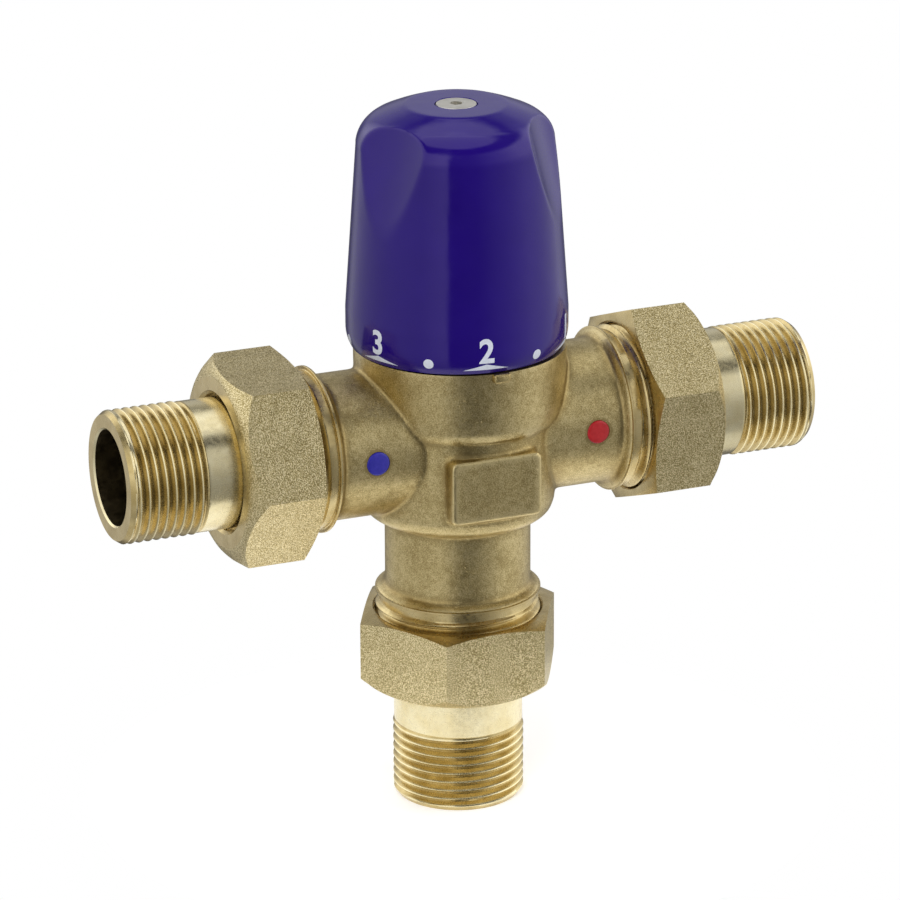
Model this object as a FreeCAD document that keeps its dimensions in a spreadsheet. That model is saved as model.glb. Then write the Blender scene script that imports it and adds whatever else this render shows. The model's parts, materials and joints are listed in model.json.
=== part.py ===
"""Thermo mixing valve: hot and cold unions on one line, mixed outlet below, temperature dial on top.

Millimetres. The origin is the centre of the outlet tail's end face, +Z runs up the dial axis, X runs along
the two inlets (cold at -X, hot at +X) and -Y is the front, where the pointer and the plate are.
Driving sizes are in the sheet Sizes, heights worked out from them are in the sheet Places, and every
sub-part is an object bound to those cells. Each finished sub-part is written to parts/NODE.step.
"""
import FreeCAD, Part
import math
import os
import re

import Sketcher

doc = FreeCAD.newDocument("mixing_valve")

# ---------------------------------------------------------------- driving sizes

SIZES = {
    "merge_depth": 1.0,             # how far the pieces of one solid run into each other
    # body ports
    "inlet_reach": 42.8,            # dial axis to the face of an inlet port
    "body_drop": 45.0,              # inlet line down to the face of the outlet port
    "port_tube_radius": 14.6,       # plain round neck of each port
    "port_radius": 16.62,           # outside of the port's G1 thread
    "port_length": 12.3,            # collar, relief groove and thread together
    "port_collar": 0.5,
    "port_groove_width": 1.6,
    "port_groove_depth": 0.75,
    "port_edge": 0.6,               # chamfer at the port's face
    "port_slope": 1.7,              # length of the cone from the collar down to the neck
    # gaskets, tails and union nuts
    "gasket_thickness": 2.0,
    "gasket_bore_radius": 11.0,
    "inlet_tail_length": 28.3,
    "outlet_tail_length": 30.25,
    "tail_thread_radius": 13.22,    # outside of the tail's G3/4 thread
    "tail_thread_length": 16.0,
    "tail_shank_radius": 13.0,
    "tail_bore_radius": 9.5,
    "tail_flange_radius": 15.4,
    "tail_flange_thickness": 3.4,
    "tail_end_chamfer": 1.0,
    "nut_flats": 37.0,              # across flats
    "nut_length": 15.6,
    "nut_lip": 2.6,                 # shoulder that pulls on the tail's flange
    "nut_thread_gap": 0.15,         # play over the port's thread
    "nut_lip_gap": 0.45,            # play over the tail's thread
    "nut_mouth_flare": 0.4,
    "nut_face_cut": 0.25,           # how far the faced end stays inside the flats
    "nut_face_slope": 0.34,         # depth of the faced cone for each millimetre of radius
    "nut_back_radius": 17.0,        # forged end, where its cone starts
    "nut_back_drop": 2.9,           # length of the forged end's cone at the corners
    "cold_nut_turn": 54.1,          # degrees, corner from the front towards the top
    "hot_nut_turn": 20.9,
    "outlet_nut_turn": -28.8,       # degrees, corner from the front towards the hot side
    # body outside
    "barrel_radius": 19.4,
    "barrel_drop": 17.4,            # inlet line down to the underside of the barrel
    "barrel_shoulder": 1.2,         # flat left under the barrel between its round and the outlet neck
    "ledge_rise": 3.4,              # inlet line up to the underside of the bowl
    "ledge_slope": 0.9,
    "bowl_low_radius": 20.7,
    "bowl_radius": 21.15,
    "bowl_offset": 0.6,             # the bowl stands this far towards the hot side
    "body_top_rise": 16.8,
    "bowl_edge": 0.8,
    "plate_width": 19.1,
    "plate_height": 13.0,
    "plate_front": 20.4,            # dial axis to the plate's face
    "plate_drop": 6.2,              # inlet line down to the plate's centre
    "plate_bevel": 0.8,
    "plate_root": 4.0,              # depth of the plate, into the barrel
    "pointer_width": 3.6,
    "pointer_front": 21.9,
    "pointer_depth": 3.0,
    "pointer_low": 0.9,             # pointer's foot below the body's top
    "pointer_high": 1.3,            # pointer's head above the body's top
    "cold_marker_offset": 22.8,
    "hot_marker_offset": 24.2,
    "marker_rise": 0.5,
    "marker_radius": 2.35,
    "marker_thickness": 0.9,
    "marker_proud": 0.15,
    "marker_gap": 0.05,
    # body inside
    "spool_bore_radius": 12.0,
    "land_half": 3.0,               # half height of the land that the spool's seal runs on
    "ring_channel_radius": 15.2,
    "ring_channel_height": 5.0,
    "head_bore_radius": 15.7,
    "chamber_radius": 10.4,
    "spring_ledge_drop": 26.7,      # inlet line down to the return spring's ledge
    "outlet_bore_radius": 8.7,
    "inlet_throat_radius": 8.5,
    "inlet_throat_end": 17.2,
    "slot_width": 10.0,
    "slot_inner": 13.2,
    "slot_outer": 18.2,
    "slot_height": 3.0,
    "slot_offset": 0.5,
    # spool, seats and expansion element
    "spool_running_gap": 0.08,
    "spool_half": 5.0,
    "spool_rim_radius": 10.6,
    "spool_waist_radius": 9.9,
    "spool_waist_half": 2.7,
    "spool_web_low": 1.5,           # web's underside below the inlet line
    "spool_web_high": 0.5,          # web's top above the inlet line
    "spool_hub_radius": 6.6,
    "spool_hub_drop": 4.5,
    "spool_hub_gap": 0.05,
    "spool_edge": 0.4,
    "spool_hole_radius": 1.45,
    "spool_hole_circle": 8.25,
    "spool_hole_count": 8,
    "cold_seat_gap": 0.75,
    "hot_seat_gap": 0.35,
    "hot_seat_bore_radius": 10.2,
    "hot_seat_rim_radius": 11.9,
    "hot_seat_base_radius": 12.4,
    "hot_seat_base": 2.0,
    "guide_radius": 4.9,
    "guide_rise": 5.8,
    "element_collar_radius": 8.2,
    "element_collar": 2.0,
    "bulb_radius": 7.0,
    "bulb_length": 13.2,
    "bulb_round": 1.5,
    "piston_radius": 2.0,
    "piston_gap": 0.06,
    "piston_foot_drop": 2.7,
    "piston_pocket_drop": 4.2,
    "clip_thickness": 0.95,
    "clip_slot_gap": 0.05,
    "element_clip_inner": 4.35,
    "element_clip_outer": 6.2,
    # seals: section radius and seat
    "seal_squeeze": 0.02,
    "spool_seal_floor": 10.75,
    "spool_seal_width": 1.8,
    "head_seal_floor": 14.1,
    "head_seal_width": 2.0,
    "head_seal_rise": 11.3,
    "spindle_seal_floor": 2.9,
    "spindle_seal_width": 1.6,
    "check_seal_floor": 9.05,
    "check_seal_width": 1.6,
    # return spring and overload spring
    "return_coil_radius": 9.3,
    "return_wire_radius": 0.5,
    "return_turns": 7,
    "overload_coil_radius": 4.5,
    "overload_wire_radius": 0.7,
    "overload_turns": 4,
    # head
    "head_plug_gap": 0.08,
    "head_plug_rise": 8.3,
    "head_skirt_radius": 12.6,
    "head_skirt_bore": 10.4,
    "head_flats": 32.0,
    "head_hex_height": 4.0,
    "neck_radius": 11.8,
    "neck_height": 15.5,            # from the hexagon's top
    "boss_radius": 8.0,
    "boss_height": 5.0,
    "carriage_bore_radius": 8.2,
    "journal_bore_radius": 4.12,
    "head_wall": 6.5,               # top wall that the spindle turns in
    "key_slot_width": 2.7,
    "key_slot_radius": 9.9,
    "key_slot_stop": 2.5,           # key slot ends this far under the top wall
    "stop_ring_radius": 14.2,
    "stop_ring_height": 3.5,
    "stop_ring_gap": 0.05,
    "stop_lug_radius": 18.0,
    "stop_lug_width": 7.2,
    "stop_lug_angle": 120,          # degrees from +X, seen from above
    # carriage
    "carriage_gap": 0.08,
    "carriage_rise": 12.3,          # inlet line up to the carriage's foot
    "carriage_length": 17.5,
    "carriage_cell_radius": 6.0,
    "carriage_cell_depth": 10.5,
    "carriage_thread_gap": 0.1,
    "key_width": 2.4,
    "key_radius": 9.75,
    "key_low": 3.0,
    "key_height": 11.0,
    "cage_clip_inner": 4.6,
    "cage_clip_outer": 6.85,
    "cage_clip_rise": 0.85,
    "cup_radius": 5.85,
    "cup_flange": 1.25,
    "cup_boss_radius": 2.9,
    "cup_boss_height": 3.5,
    "cup_pocket_depth": 3.2,
    "cup_pocket_gap": 0.06,
    # spindle
    "spindle_thread_radius": 4.0,
    "spindle_foot_drop": 9.5,       # thrust face down to the spindle's foot
    "thrust_washer_thickness": 0.6,
    "thrust_washer_gap": 0.05,
    "spindle_collar_radius": 6.4,
    "spindle_collar": 2.0,
    "journal_radius": 4.05,
    "spindle_seal_rise": 3.3,
    "spindle_clip_inner": 3.1,
    "spindle_clip_outer": 5.6,
    "spindle_head_radius": 3.95,
    "spindle_head_length": 18.9,
    "screw_hole_radius": 2.05,
    "screw_hole_depth": 12.0,
    # dial
    "dial_gap": 2.1,                # body's top to the dial's rim
    "dial_height": 49.35,
    "dial_band_radius": 22.3,
    "dial_band_height": 3.6,
    "dial_rim_edge": 0.7,
    "dial_dome_radius": 12.2,       # where the crown's slope steepens
    "dial_dome_drop": 1.95,
    "dial_shoulder_radius": 19.41,
    "dial_shoulder_drop": 5.1,
    "dial_top_round": 6.8,
    "dial_wall": 2.1,
    "dial_cell_radius": 14.2,       # inside radius at the top
    "dial_cell_band": 8.4,
    "dial_roof": 6.4,
    "dial_hub_radius": 6.6,
    "dial_hub_rise": 2.4,           # gap over the spindle's clip
    "dial_hub_gap": 0.05,
    "dial_screw_floor": 3.25,
    "dial_grip_radius": 34.0,
    "dial_grip_length": 34.0,
    "dial_grip_low": 22.4,          # grip's tip above the rim
    "dial_grip_depth": 6.6,         # how deep the grip is at the far end of its length
    "dial_grip_angle": -67.5,       # degrees from the front towards the hot side
    "dial_grip_count": 3,
    "dial_rib_lead": 82.5,          # degrees from the stop's lug to the dial's rib at rest
    "dial_rib_inner": 14.8,
    "dial_rib_low": 2.6,
    "dial_rib_height": 3.2,
    "screw_head_radius": 4.02,
    "screw_head_height": 2.25,
    "screw_head_gap": 0.2,
    "screw_radius": 2.0,
    "screw_length": 13.0,
    "screw_socket_flats": 2.6,
    "screw_socket_depth": 1.3,
    # check valves
    "check_recess": 1.0,
    "check_gap": 0.08,
    "check_length": 16.0,
    "check_mouth_radius": 8.0,
    "check_mouth": 1.5,
    "check_seat_radius": 6.0,
    "check_seat": 2.0,
    "check_wall_radius": 8.3,
    "check_seal_start": 5.0,
    "check_boss_radius": 2.4,
    "check_boss_start": 12.0,
    "check_boss_length": 3.0,
    "check_stem_hole": 1.25,
    "check_arm_width": 1.6,
    "check_arm_count": 3,
    "check_poppet_radius": 7.2,
    "check_poppet": 1.7,
    "check_nose_radius": 5.6,
    "check_stem_gap": 0.07,
    "check_stem_length": 10.3,
    "check_coil_radius": 3.9,
    "check_wire_radius": 0.4,
    "check_turns": 4,
}

# ---------------------------------------------------------------- heights worked out from the sizes

PLACES = {
    "outlet_face": "outlet_tail_length + gasket_thickness",
    "axis": "outlet_face + body_drop",
    "body_top": "axis + body_top_rise",
    "ledge": "axis + ledge_rise",
    "barrel_foot": "axis - barrel_drop",
    "barrel_round": "barrel_radius - port_tube_radius - barrel_shoulder",
    "head_bore_radius_in": "head_bore_radius - head_plug_gap",
    "channel_low": "axis - land_half - ring_channel_height",
    "channel_high": "axis + land_half + ring_channel_height",
    "spring_ledge": "axis - spring_ledge_drop",
    "spool_radius": "spool_bore_radius - spool_running_gap",
    "spool_low": "axis - spool_half",
    "spool_high": "axis + spool_half",
    "cold_seat": "spool_high + cold_seat_gap",
    "hot_seat": "spool_low - hot_seat_gap",
    "hub_foot": "axis - spool_hub_drop",
    "web_low": "axis - spool_web_low",
    "web_high": "axis + spool_web_high",
    "guide_top": "axis + guide_rise",
    "bulb_foot": "hub_foot - element_collar - bulb_length",
    "piston_foot": "axis - piston_foot_drop",
    "nut_thread_radius": "port_radius + nut_thread_gap",
    "nut_lip_radius": "tail_thread_radius + nut_lip_gap",
    "nut_corner_radius": "nut_flats / 2 / cos(30 deg)",
    "hex_top": "body_top + head_hex_height",
    "neck_top": "hex_top + neck_height",
    "head_top": "neck_top + boss_height",
    "thrust_face": "head_top - head_wall",
    "carriage_foot": "axis + carriage_rise",
    "carriage_top": "carriage_foot + carriage_length",
    "carriage_radius": "carriage_bore_radius - carriage_gap",
    "cell_top": "carriage_foot + carriage_cell_depth",
    "cage_clip_low": "carriage_foot + cage_clip_rise",
    "cup_foot": "cage_clip_low + clip_thickness",
    "cup_flange_top": "cup_foot + cup_flange",
    "piston_top": "cup_foot + cup_pocket_depth",
    "collar_top": "thrust_face - thrust_washer_thickness - thrust_washer_gap",
    "collar_foot": "collar_top - spindle_collar",
    "spindle_foot": "thrust_face - spindle_foot_drop",
    "spindle_clip_low": "head_top + thrust_washer_gap",
    "spindle_clip_high": "spindle_clip_low + clip_thickness",
    "spindle_top": "spindle_clip_high + clip_slot_gap + spindle_head_length",
    "dial_foot": "body_top + dial_gap",
    "dial_top": "dial_foot + dial_height",
    "dial_shoulder": "dial_top - dial_shoulder_drop",
    "dial_lean": "(dial_band_radius - dial_shoulder_radius) / (dial_shoulder - dial_foot - dial_band_height)",
    "dial_grip_foot": "dial_foot + dial_grip_low",
    "dial_grip_foot_radius": "dial_band_radius - dial_lean * (dial_grip_low - dial_band_height)",
    "dial_hub_foot": "spindle_clip_high + dial_hub_rise",
    "screw_floor": "dial_top - dial_screw_floor",
    "check_face": "inlet_reach - check_recess",
    "check_back": "check_face - check_length",
    "check_radius": "chamber_radius - check_gap",
    "check_seat_back": "check_mouth + check_seat",
}


def size_names():
    """Every alias of both sheets, with the sheet it belongs to."""
    return {**{name: "Sizes" for name in SIZES}, **{name: "Places" for name in PLACES}}


HOME = size_names()


def bound(text):
    """Turns a plain formula of size names into an expression that names their sheets."""
    return re.sub(r"[a-z][a-z_0-9]*", lambda word: f"{HOME[word[0]]}.{word[0]}" if word[0] in HOME else word[0], text)


def fill_sheets():
    sizes = doc.addObject("Spreadsheet::Sheet", "Sizes")
    for row, (name, number) in enumerate(SIZES.items(), start=1):
        sizes.set(f"A{row}", name)
        sizes.set(f"B{row}", str(number))
        sizes.setAlias(f"B{row}", name)
    places = doc.addObject("Spreadsheet::Sheet", "Places")
    for row, (name, formula) in enumerate(PLACES.items(), start=1):
        formula = re.sub(r"[a-z][a-z_0-9]*", lambda word: f"Sizes.{word[0]}" if HOME.get(word[0]) == "Sizes" else word[0],
                         formula)
        places.set(f"A{row}", name)
        places.set(f"B{row}", "=" + formula)
        places.setAlias(f"B{row}", name)
    doc.recompute()
    return sizes, places


sizes, places = fill_sheets()


def value(name):
    """A size or a place as a number."""
    return (sizes if HOME[name] == "Sizes" else places).get(name)


# ---------------------------------------------------------------- ways of making things

finished = {}
RIGHT_ANGLE = 90
SKETCH_AWAY = 10        # a new outline starts as a small ring this far from the origin, before its bonds place it
SKETCH_RING = 5
SAME_PLACE = 1e-4


def keep(thing, node):
    """Names a finished sub-part after its node."""
    thing.Label = node
    finished[node] = thing
    return thing


def bind(thing, **formulas):
    for name, formula in formulas.items():
        thing.setExpression(name, bound(formula))
    return thing


def put(thing, x="0", y="0", z="0", rotation=None):
    """Places a sub-part: a fixed rotation, and a position bound to the sheets."""
    thing.Placement = FreeCAD.Placement(FreeCAD.Vector(), rotation or FreeCAD.Rotation())
    for letter, formula in zip("xyz", (x, y, z)):
        if formula != "0":
            thing.setExpression(f".Placement.Base.{letter}", bound(formula))
    return thing


def about_x(side):
    """Turns local +Z to run outwards along X: side is -1 for cold, +1 for hot."""
    return FreeCAD.Rotation(FreeCAD.Vector(0, 1, 0), side * RIGHT_ANGLE)


def outline_sketch(body, plane_role, corners, name):
    """A closed outline in one of the body's planes, each corner held by two bound distances."""
    sketch = body.newObject("Sketcher::SketchObject", name)
    plane = next(item for item in body.Origin.OriginFeatures if item.Role == plane_role)
    sketch.AttachmentSupport = [(plane, "")]
    sketch.MapMode = "FlatFace"
    count = len(corners)
    start = [FreeCAD.Vector(SKETCH_AWAY + SKETCH_RING * math.cos(math.tau * n / count),
                            SKETCH_RING * math.sin(math.tau * n / count), 0) for n in range(count)]
    for n in range(count):
        sketch.addGeometry(Part.LineSegment(start[n], start[(n + 1) % count]))
    for n in range(count):
        sketch.addConstraint(Sketcher.Constraint("Coincident", n, 2, (n + 1) % count, 1))
    for n, corner in enumerate(corners):
        for kind, formula, here in zip(("DistanceX", "DistanceY"), corner, (start[n].x, start[n].y)):
            index = sketch.addConstraint(Sketcher.Constraint(kind, -1, 1, n, 1, here))
            sketch.setExpression(f"Constraints[{index}]", bound(formula))
    return sketch


def turned(name, outline):
    """A body turned about its own Z axis from an outline of (radius, height) formulas."""
    body = doc.addObject("PartDesign::Body", name)
    sketch = outline_sketch(body, "XZ_Plane", outline, name + "_outline")
    turn = body.newObject("PartDesign::Revolution", name + "_turn")
    turn.Profile = sketch
    turn.ReferenceAxis = (sketch, ["V_Axis"])
    turn.Angle = 360
    doc.recompute()
    return body


def padded(name, plane_role, outline, length, both_ways=False):
    """A body padded from a closed outline in one of its planes."""
    body = doc.addObject("PartDesign::Body", name)
    sketch = outline_sketch(body, plane_role, outline, name + "_outline")
    pad = body.newObject("PartDesign::Pad", name + "_pad")
    pad.Profile = sketch
    pad.Midplane = both_ways
    bind(pad, Length=length)
    doc.recompute()
    return body


def round_rims(body, rims, radius, kind="PartDesign::Fillet"):
    """Rounds or chamfers the round rims given as (radius, height) size names in the body's own frame."""
    base = body.Tip
    chosen = []
    for number, edge in enumerate(base.Shape.Edges, start=1):
        if not isinstance(edge.Curve, Part.Circle):
            continue
        for rim_radius, rim_height in rims:
            if (abs(edge.Curve.Radius - value(rim_radius)) < SAME_PLACE
                    and abs(edge.Curve.Center.z - value(rim_height)) < SAME_PLACE):
                chosen.append(f"Edge{number}")
    dressed = body.newObject(kind, body.Name + "_round")
    dressed.Base = (base, chosen)
    bind(dressed, **{"Radius" if kind == "PartDesign::Fillet" else "Size": radius})
    body.Tip = dressed
    doc.recompute()
    return body


def cylinder(name, radius, height):
    return bind(doc.addObject("Part::Cylinder", name), Radius=radius, Height=height)


def box(name, length, width, height):
    return bind(doc.addObject("Part::Box", name), Length=length, Width=width, Height=height)


def joined(name, *pieces):
    fuse = doc.addObject("Part::MultiFuse", name)
    fuse.Shapes = list(pieces)
    fuse.Refine = True
    return fuse


def cut(name, base, *tools):
    result = doc.addObject("Part::Cut", name)
    result.Base = base
    result.Tool = tools[0] if len(tools) == 1 else joined(name + "_cutters", *tools)
    return result


def o_ring(node, floor, wall):
    """A seal ring between a groove floor and the wall it seals on, both given as radii."""
    ring = doc.addObject("Part::Torus", node)
    bind(ring, Radius1=f"({floor} + {wall}) / 2", Radius2=f"({wall} - {floor}) / 2 - seal_squeeze")
    return keep(ring, node)


def coil(node, coil_radius, wire_radius, turns, length):
    """A compression spring along +Z, its wire's ends one wire radius inside its length."""
    wire = value(wire_radius)
    height = length - 2 * wire
    helix = Part.makeHelix(height / value(turns), height, value(coil_radius))
    helix.translate(FreeCAD.Vector(0, 0, wire))
    middle = value(coil_radius)
    outer, inner = FreeCAD.Vector(middle + wire, 0, wire), FreeCAD.Vector(middle - wire, 0, wire)
    over, under = FreeCAD.Vector(middle, 0, 2 * wire), FreeCAD.Vector(middle, 0, 0)
    section = Part.Wire([Part.Arc(outer, over, inner).toShape(), Part.Arc(inner, under, outer).toShape()])
    solid = Part.Wire(helix).makePipeShell([section], True, True)
    spring = doc.addObject("Part::Feature", node)
    spring.Shape = Part.Solid(solid) if solid.ShapeType != "Solid" else solid
    return keep(spring, node)


# ---------------------------------------------------------------- body casting

def port_outline(face, inwards):
    """Corners of a port from its face inwards: thread, relief groove, collar and the shoulder to its neck."""
    def at(distance):
        return f"{face} {inwards} ({distance})"

    groove_low = "port_length - port_collar - port_groove_width"
    groove_high = "port_length - port_collar"
    return [
        ("port_radius - port_edge", at("0")),
        ("port_radius", at("port_edge")),
        ("port_radius", at(groove_low)),
        ("port_radius - port_groove_depth", at(groove_low)),
        ("port_radius - port_groove_depth", at(groove_high)),
        ("port_radius", at(groove_high)),
        ("port_radius", at("port_length")),
        ("port_tube_radius", at("port_length + port_slope")),
    ]


def make_body():
    stem = turned("casting_stem", [("0", "outlet_face")] + port_outline("outlet_face", "+") + [
        ("port_tube_radius", "barrel_foot"),
        ("barrel_radius", "barrel_foot"),
        ("barrel_radius", "ledge"),
        ("0", "ledge"),
    ])
    round_rims(stem, [("barrel_radius", "barrel_foot")], "barrel_round")
    bowl = turned("casting_bowl", [
        ("0", "ledge - ledge_slope"),
        ("bowl_low_radius - ledge_slope * 2", "ledge - ledge_slope"),
        ("bowl_low_radius", "ledge"),
        ("bowl_radius", "body_top - bowl_edge"),
        ("bowl_radius - bowl_edge", "body_top"),
        ("0", "body_top"),
    ])
    put(bowl, x="bowl_offset")
    plate = padded("casting_plate", "XZ_Plane", [
        ("-plate_width / 2", "axis - plate_drop - plate_height / 2"),
        ("plate_width / 2", "axis - plate_drop - plate_height / 2"),
        ("plate_width / 2", "axis - plate_drop + plate_height / 2"),
        ("-plate_width / 2", "axis - plate_drop + plate_height / 2"),
    ], "plate_root")
    base = plate.Tip
    faces = base.Shape.Faces
    front = min(range(len(faces)), key=lambda n: faces[n].CenterOfMass.y)
    bevel = plate.newObject("PartDesign::Chamfer", "casting_plate_bevel")
    bevel.Base = (base, [f"Face{front + 1}"])
    bind(bevel, Size="plate_bevel")
    plate.Tip = bevel
    put(plate, y="plate_root - plate_front")
    pointer = box("casting_pointer", "pointer_width", "pointer_depth", "pointer_low + pointer_high")
    put(pointer, x="-pointer_width / 2", y="-pointer_front", z="body_top - pointer_low")
    outside = [stem, bowl, plate, pointer]
    inside = [turned("casting_bore", [
        ("0", "outlet_face - port_edge"),
        ("outlet_bore_radius", "outlet_face - port_edge"),
        ("outlet_bore_radius", "spring_ledge"),
        ("chamber_radius", "spring_ledge"),
        ("chamber_radius", "channel_low - hot_seat_base"),
        ("hot_seat_base_radius", "channel_low - hot_seat_base"),
        ("hot_seat_base_radius", "channel_low"),
        ("ring_channel_radius", "channel_low"),
        ("ring_channel_radius", "axis - land_half"),
        ("spool_bore_radius", "axis - land_half"),
        ("spool_bore_radius", "axis + land_half"),
        ("head_bore_radius", "axis + land_half"),
        ("head_bore_radius", "body_top + port_edge"),
        ("0", "body_top + port_edge"),
    ])]
    for name, side in (("cold", -1), ("hot", 1)):
        arm = turned(f"casting_{name}_arm", [("0", "inlet_reach")] + port_outline("inlet_reach", "-") + [
            ("port_tube_radius", "0"),
            ("0", "0"),
        ])
        outside.append(put(arm, z="axis", rotation=about_x(side)))
        bore = turned(f"casting_{name}_bore", [
            ("0", "inlet_throat_end"),
            ("inlet_throat_radius", "inlet_throat_end"),
            ("inlet_throat_radius", "check_back"),
            ("chamber_radius", "check_back"),
            ("chamber_radius", "inlet_reach + port_edge"),
            ("0", "inlet_reach + port_edge"),
        ])
        inside.append(put(bore, z="axis", rotation=about_x(side)))
        slot = box(f"casting_{name}_slot", "slot_outer - slot_inner", "slot_width", "slot_height")
        slot_x = "slot_inner" if side > 0 else "-slot_outer"
        slot_z = ("axis + land_half + slot_offset" if side < 0
                  else "axis - land_half - slot_offset - slot_height")
        inside.append(put(slot, x=slot_x, y="-slot_width / 2", z=slot_z))
        pocket = cylinder(f"casting_{name}_marker_seat", "marker_radius + marker_gap", "marker_thickness + 2")
        inside.append(put(pocket, x=f"{side} * {name}_marker_offset", z="axis + marker_rise",
                          y="-port_tube_radius - marker_proud + marker_thickness",
                          rotation=FreeCAD.Rotation(FreeCAD.Vector(1, 0, 0), RIGHT_ANGLE)))
    keep(cut("body_casting", joined("casting_outside", *outside), *inside), "body_casting")


def make_markers():
    for name, side in (("cold", -1), ("hot", 1)):
        dot = turned(f"{name}_marker", [
            ("0", "0"),
            ("marker_radius", "0"),
            ("marker_radius", "marker_thickness - marker_proud"),
            ("marker_radius - marker_proud", "marker_thickness"),
            ("0", "marker_thickness"),
        ])
        put(dot, x=f"{side} * {name}_marker_offset", z="axis + marker_rise",
            y="-port_tube_radius - marker_proud + marker_thickness",
            rotation=FreeCAD.Rotation(FreeCAD.Vector(1, 0, 0), RIGHT_ANGLE))
        keep(dot, f"{name}_marker")


# ---------------------------------------------------------------- unions

UNIONS = (("cold", "inlet", -1), ("hot", "inlet", 1), ("outlet", "outlet", 0))


def seat_on_port(thing, side, distance):
    """Places a union piece whose local +Z runs out of its port; distance is from the port's face outwards."""
    if side:
        return put(thing, x=f"{side} * (inlet_reach + ({distance}))", z="axis", rotation=about_x(side))
    return put(thing, z=f"outlet_face - ({distance})",
               rotation=FreeCAD.Rotation(FreeCAD.Vector(1, 0, 0), 2 * RIGHT_ANGLE))


def corner_turn(name, side):
    """The angle, in the nut's own frame, of the corner that its turn is measured to."""
    turn = value(f"{name}_nut_turn")
    if side == 0:
        return RIGHT_ANGLE - turn
    return -turn * side - RIGHT_ANGLE


def make_unions():
    for name, kind, side in UNIONS:
        gasket = turned(f"{name}_gasket", [
            ("gasket_bore_radius", "0"),
            ("tail_flange_radius", "0"),
            ("tail_flange_radius", "gasket_thickness"),
            ("gasket_bore_radius", "gasket_thickness"),
        ])
        keep(seat_on_port(gasket, side, "0"), f"{name}_gasket")
        length = f"{kind}_tail_length"
        tail = turned(f"{name}_tail", [
            ("tail_bore_radius", "0"),
            ("tail_flange_radius", "0"),
            ("tail_flange_radius", "tail_flange_thickness"),
            ("tail_shank_radius", "tail_flange_thickness"),
            ("tail_shank_radius", f"{length} - tail_thread_length"),
            ("tail_thread_radius", f"{length} - tail_thread_length"),
            ("tail_thread_radius", f"{length} - tail_end_chamfer"),
            ("tail_thread_radius - tail_end_chamfer", length),
            ("tail_bore_radius", length),
        ])
        keep(seat_on_port(tail, side, "gasket_thickness"), f"{name}_tail")
        blank = turned(f"{name}_nut_blank", [
            ("nut_thread_radius + nut_mouth_flare", "0"),
            ("nut_flats / 2 - nut_face_cut", "0"),
            ("nut_corner_radius", "(nut_corner_radius - nut_flats / 2 + nut_face_cut) * nut_face_slope"),
            ("nut_corner_radius", "nut_length - nut_back_drop"),
            ("(nut_corner_radius + nut_back_radius) / 2 + nut_mouth_flare", "nut_length - nut_back_drop * 0.4"),
            ("nut_back_radius", "nut_length"),
            ("nut_lip_radius", "nut_length"),
            ("nut_lip_radius", "nut_length - nut_lip"),
            ("nut_thread_radius", "nut_length - nut_lip"),
            ("nut_thread_radius", "nut_mouth_flare"),
        ])
        prism = bind(doc.addObject("Part::Prism", f"{name}_nut_flats"), Circumradius="nut_corner_radius",
                     Height="nut_length")
        prism.Polygon = 6
        prism.Placement.Rotation = FreeCAD.Rotation(FreeCAD.Vector(0, 0, 1), corner_turn(name, side))
        nut = doc.addObject("Part::Common", f"{name}_nut")
        nut.Base = blank
        nut.Tool = prism
        start = "gasket_thickness + tail_flange_thickness + nut_lip - nut_length"
        keep(seat_on_port(nut, side, start), f"{name}_nut")


# ---------------------------------------------------------------- seats, spool and expansion element

def make_hot_seat():
    ring = turned("hot_seat_ring", [
        ("hot_seat_bore_radius", "channel_low - hot_seat_base"),
        ("hot_seat_base_radius", "channel_low - hot_seat_base"),
        ("hot_seat_base_radius", "channel_low"),
        ("hot_seat_rim_radius", "channel_low"),
        ("hot_seat_rim_radius", "hot_seat"),
        ("hot_seat_bore_radius", "hot_seat"),
    ])
    keep(ring, "hot_seat_ring")


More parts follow.
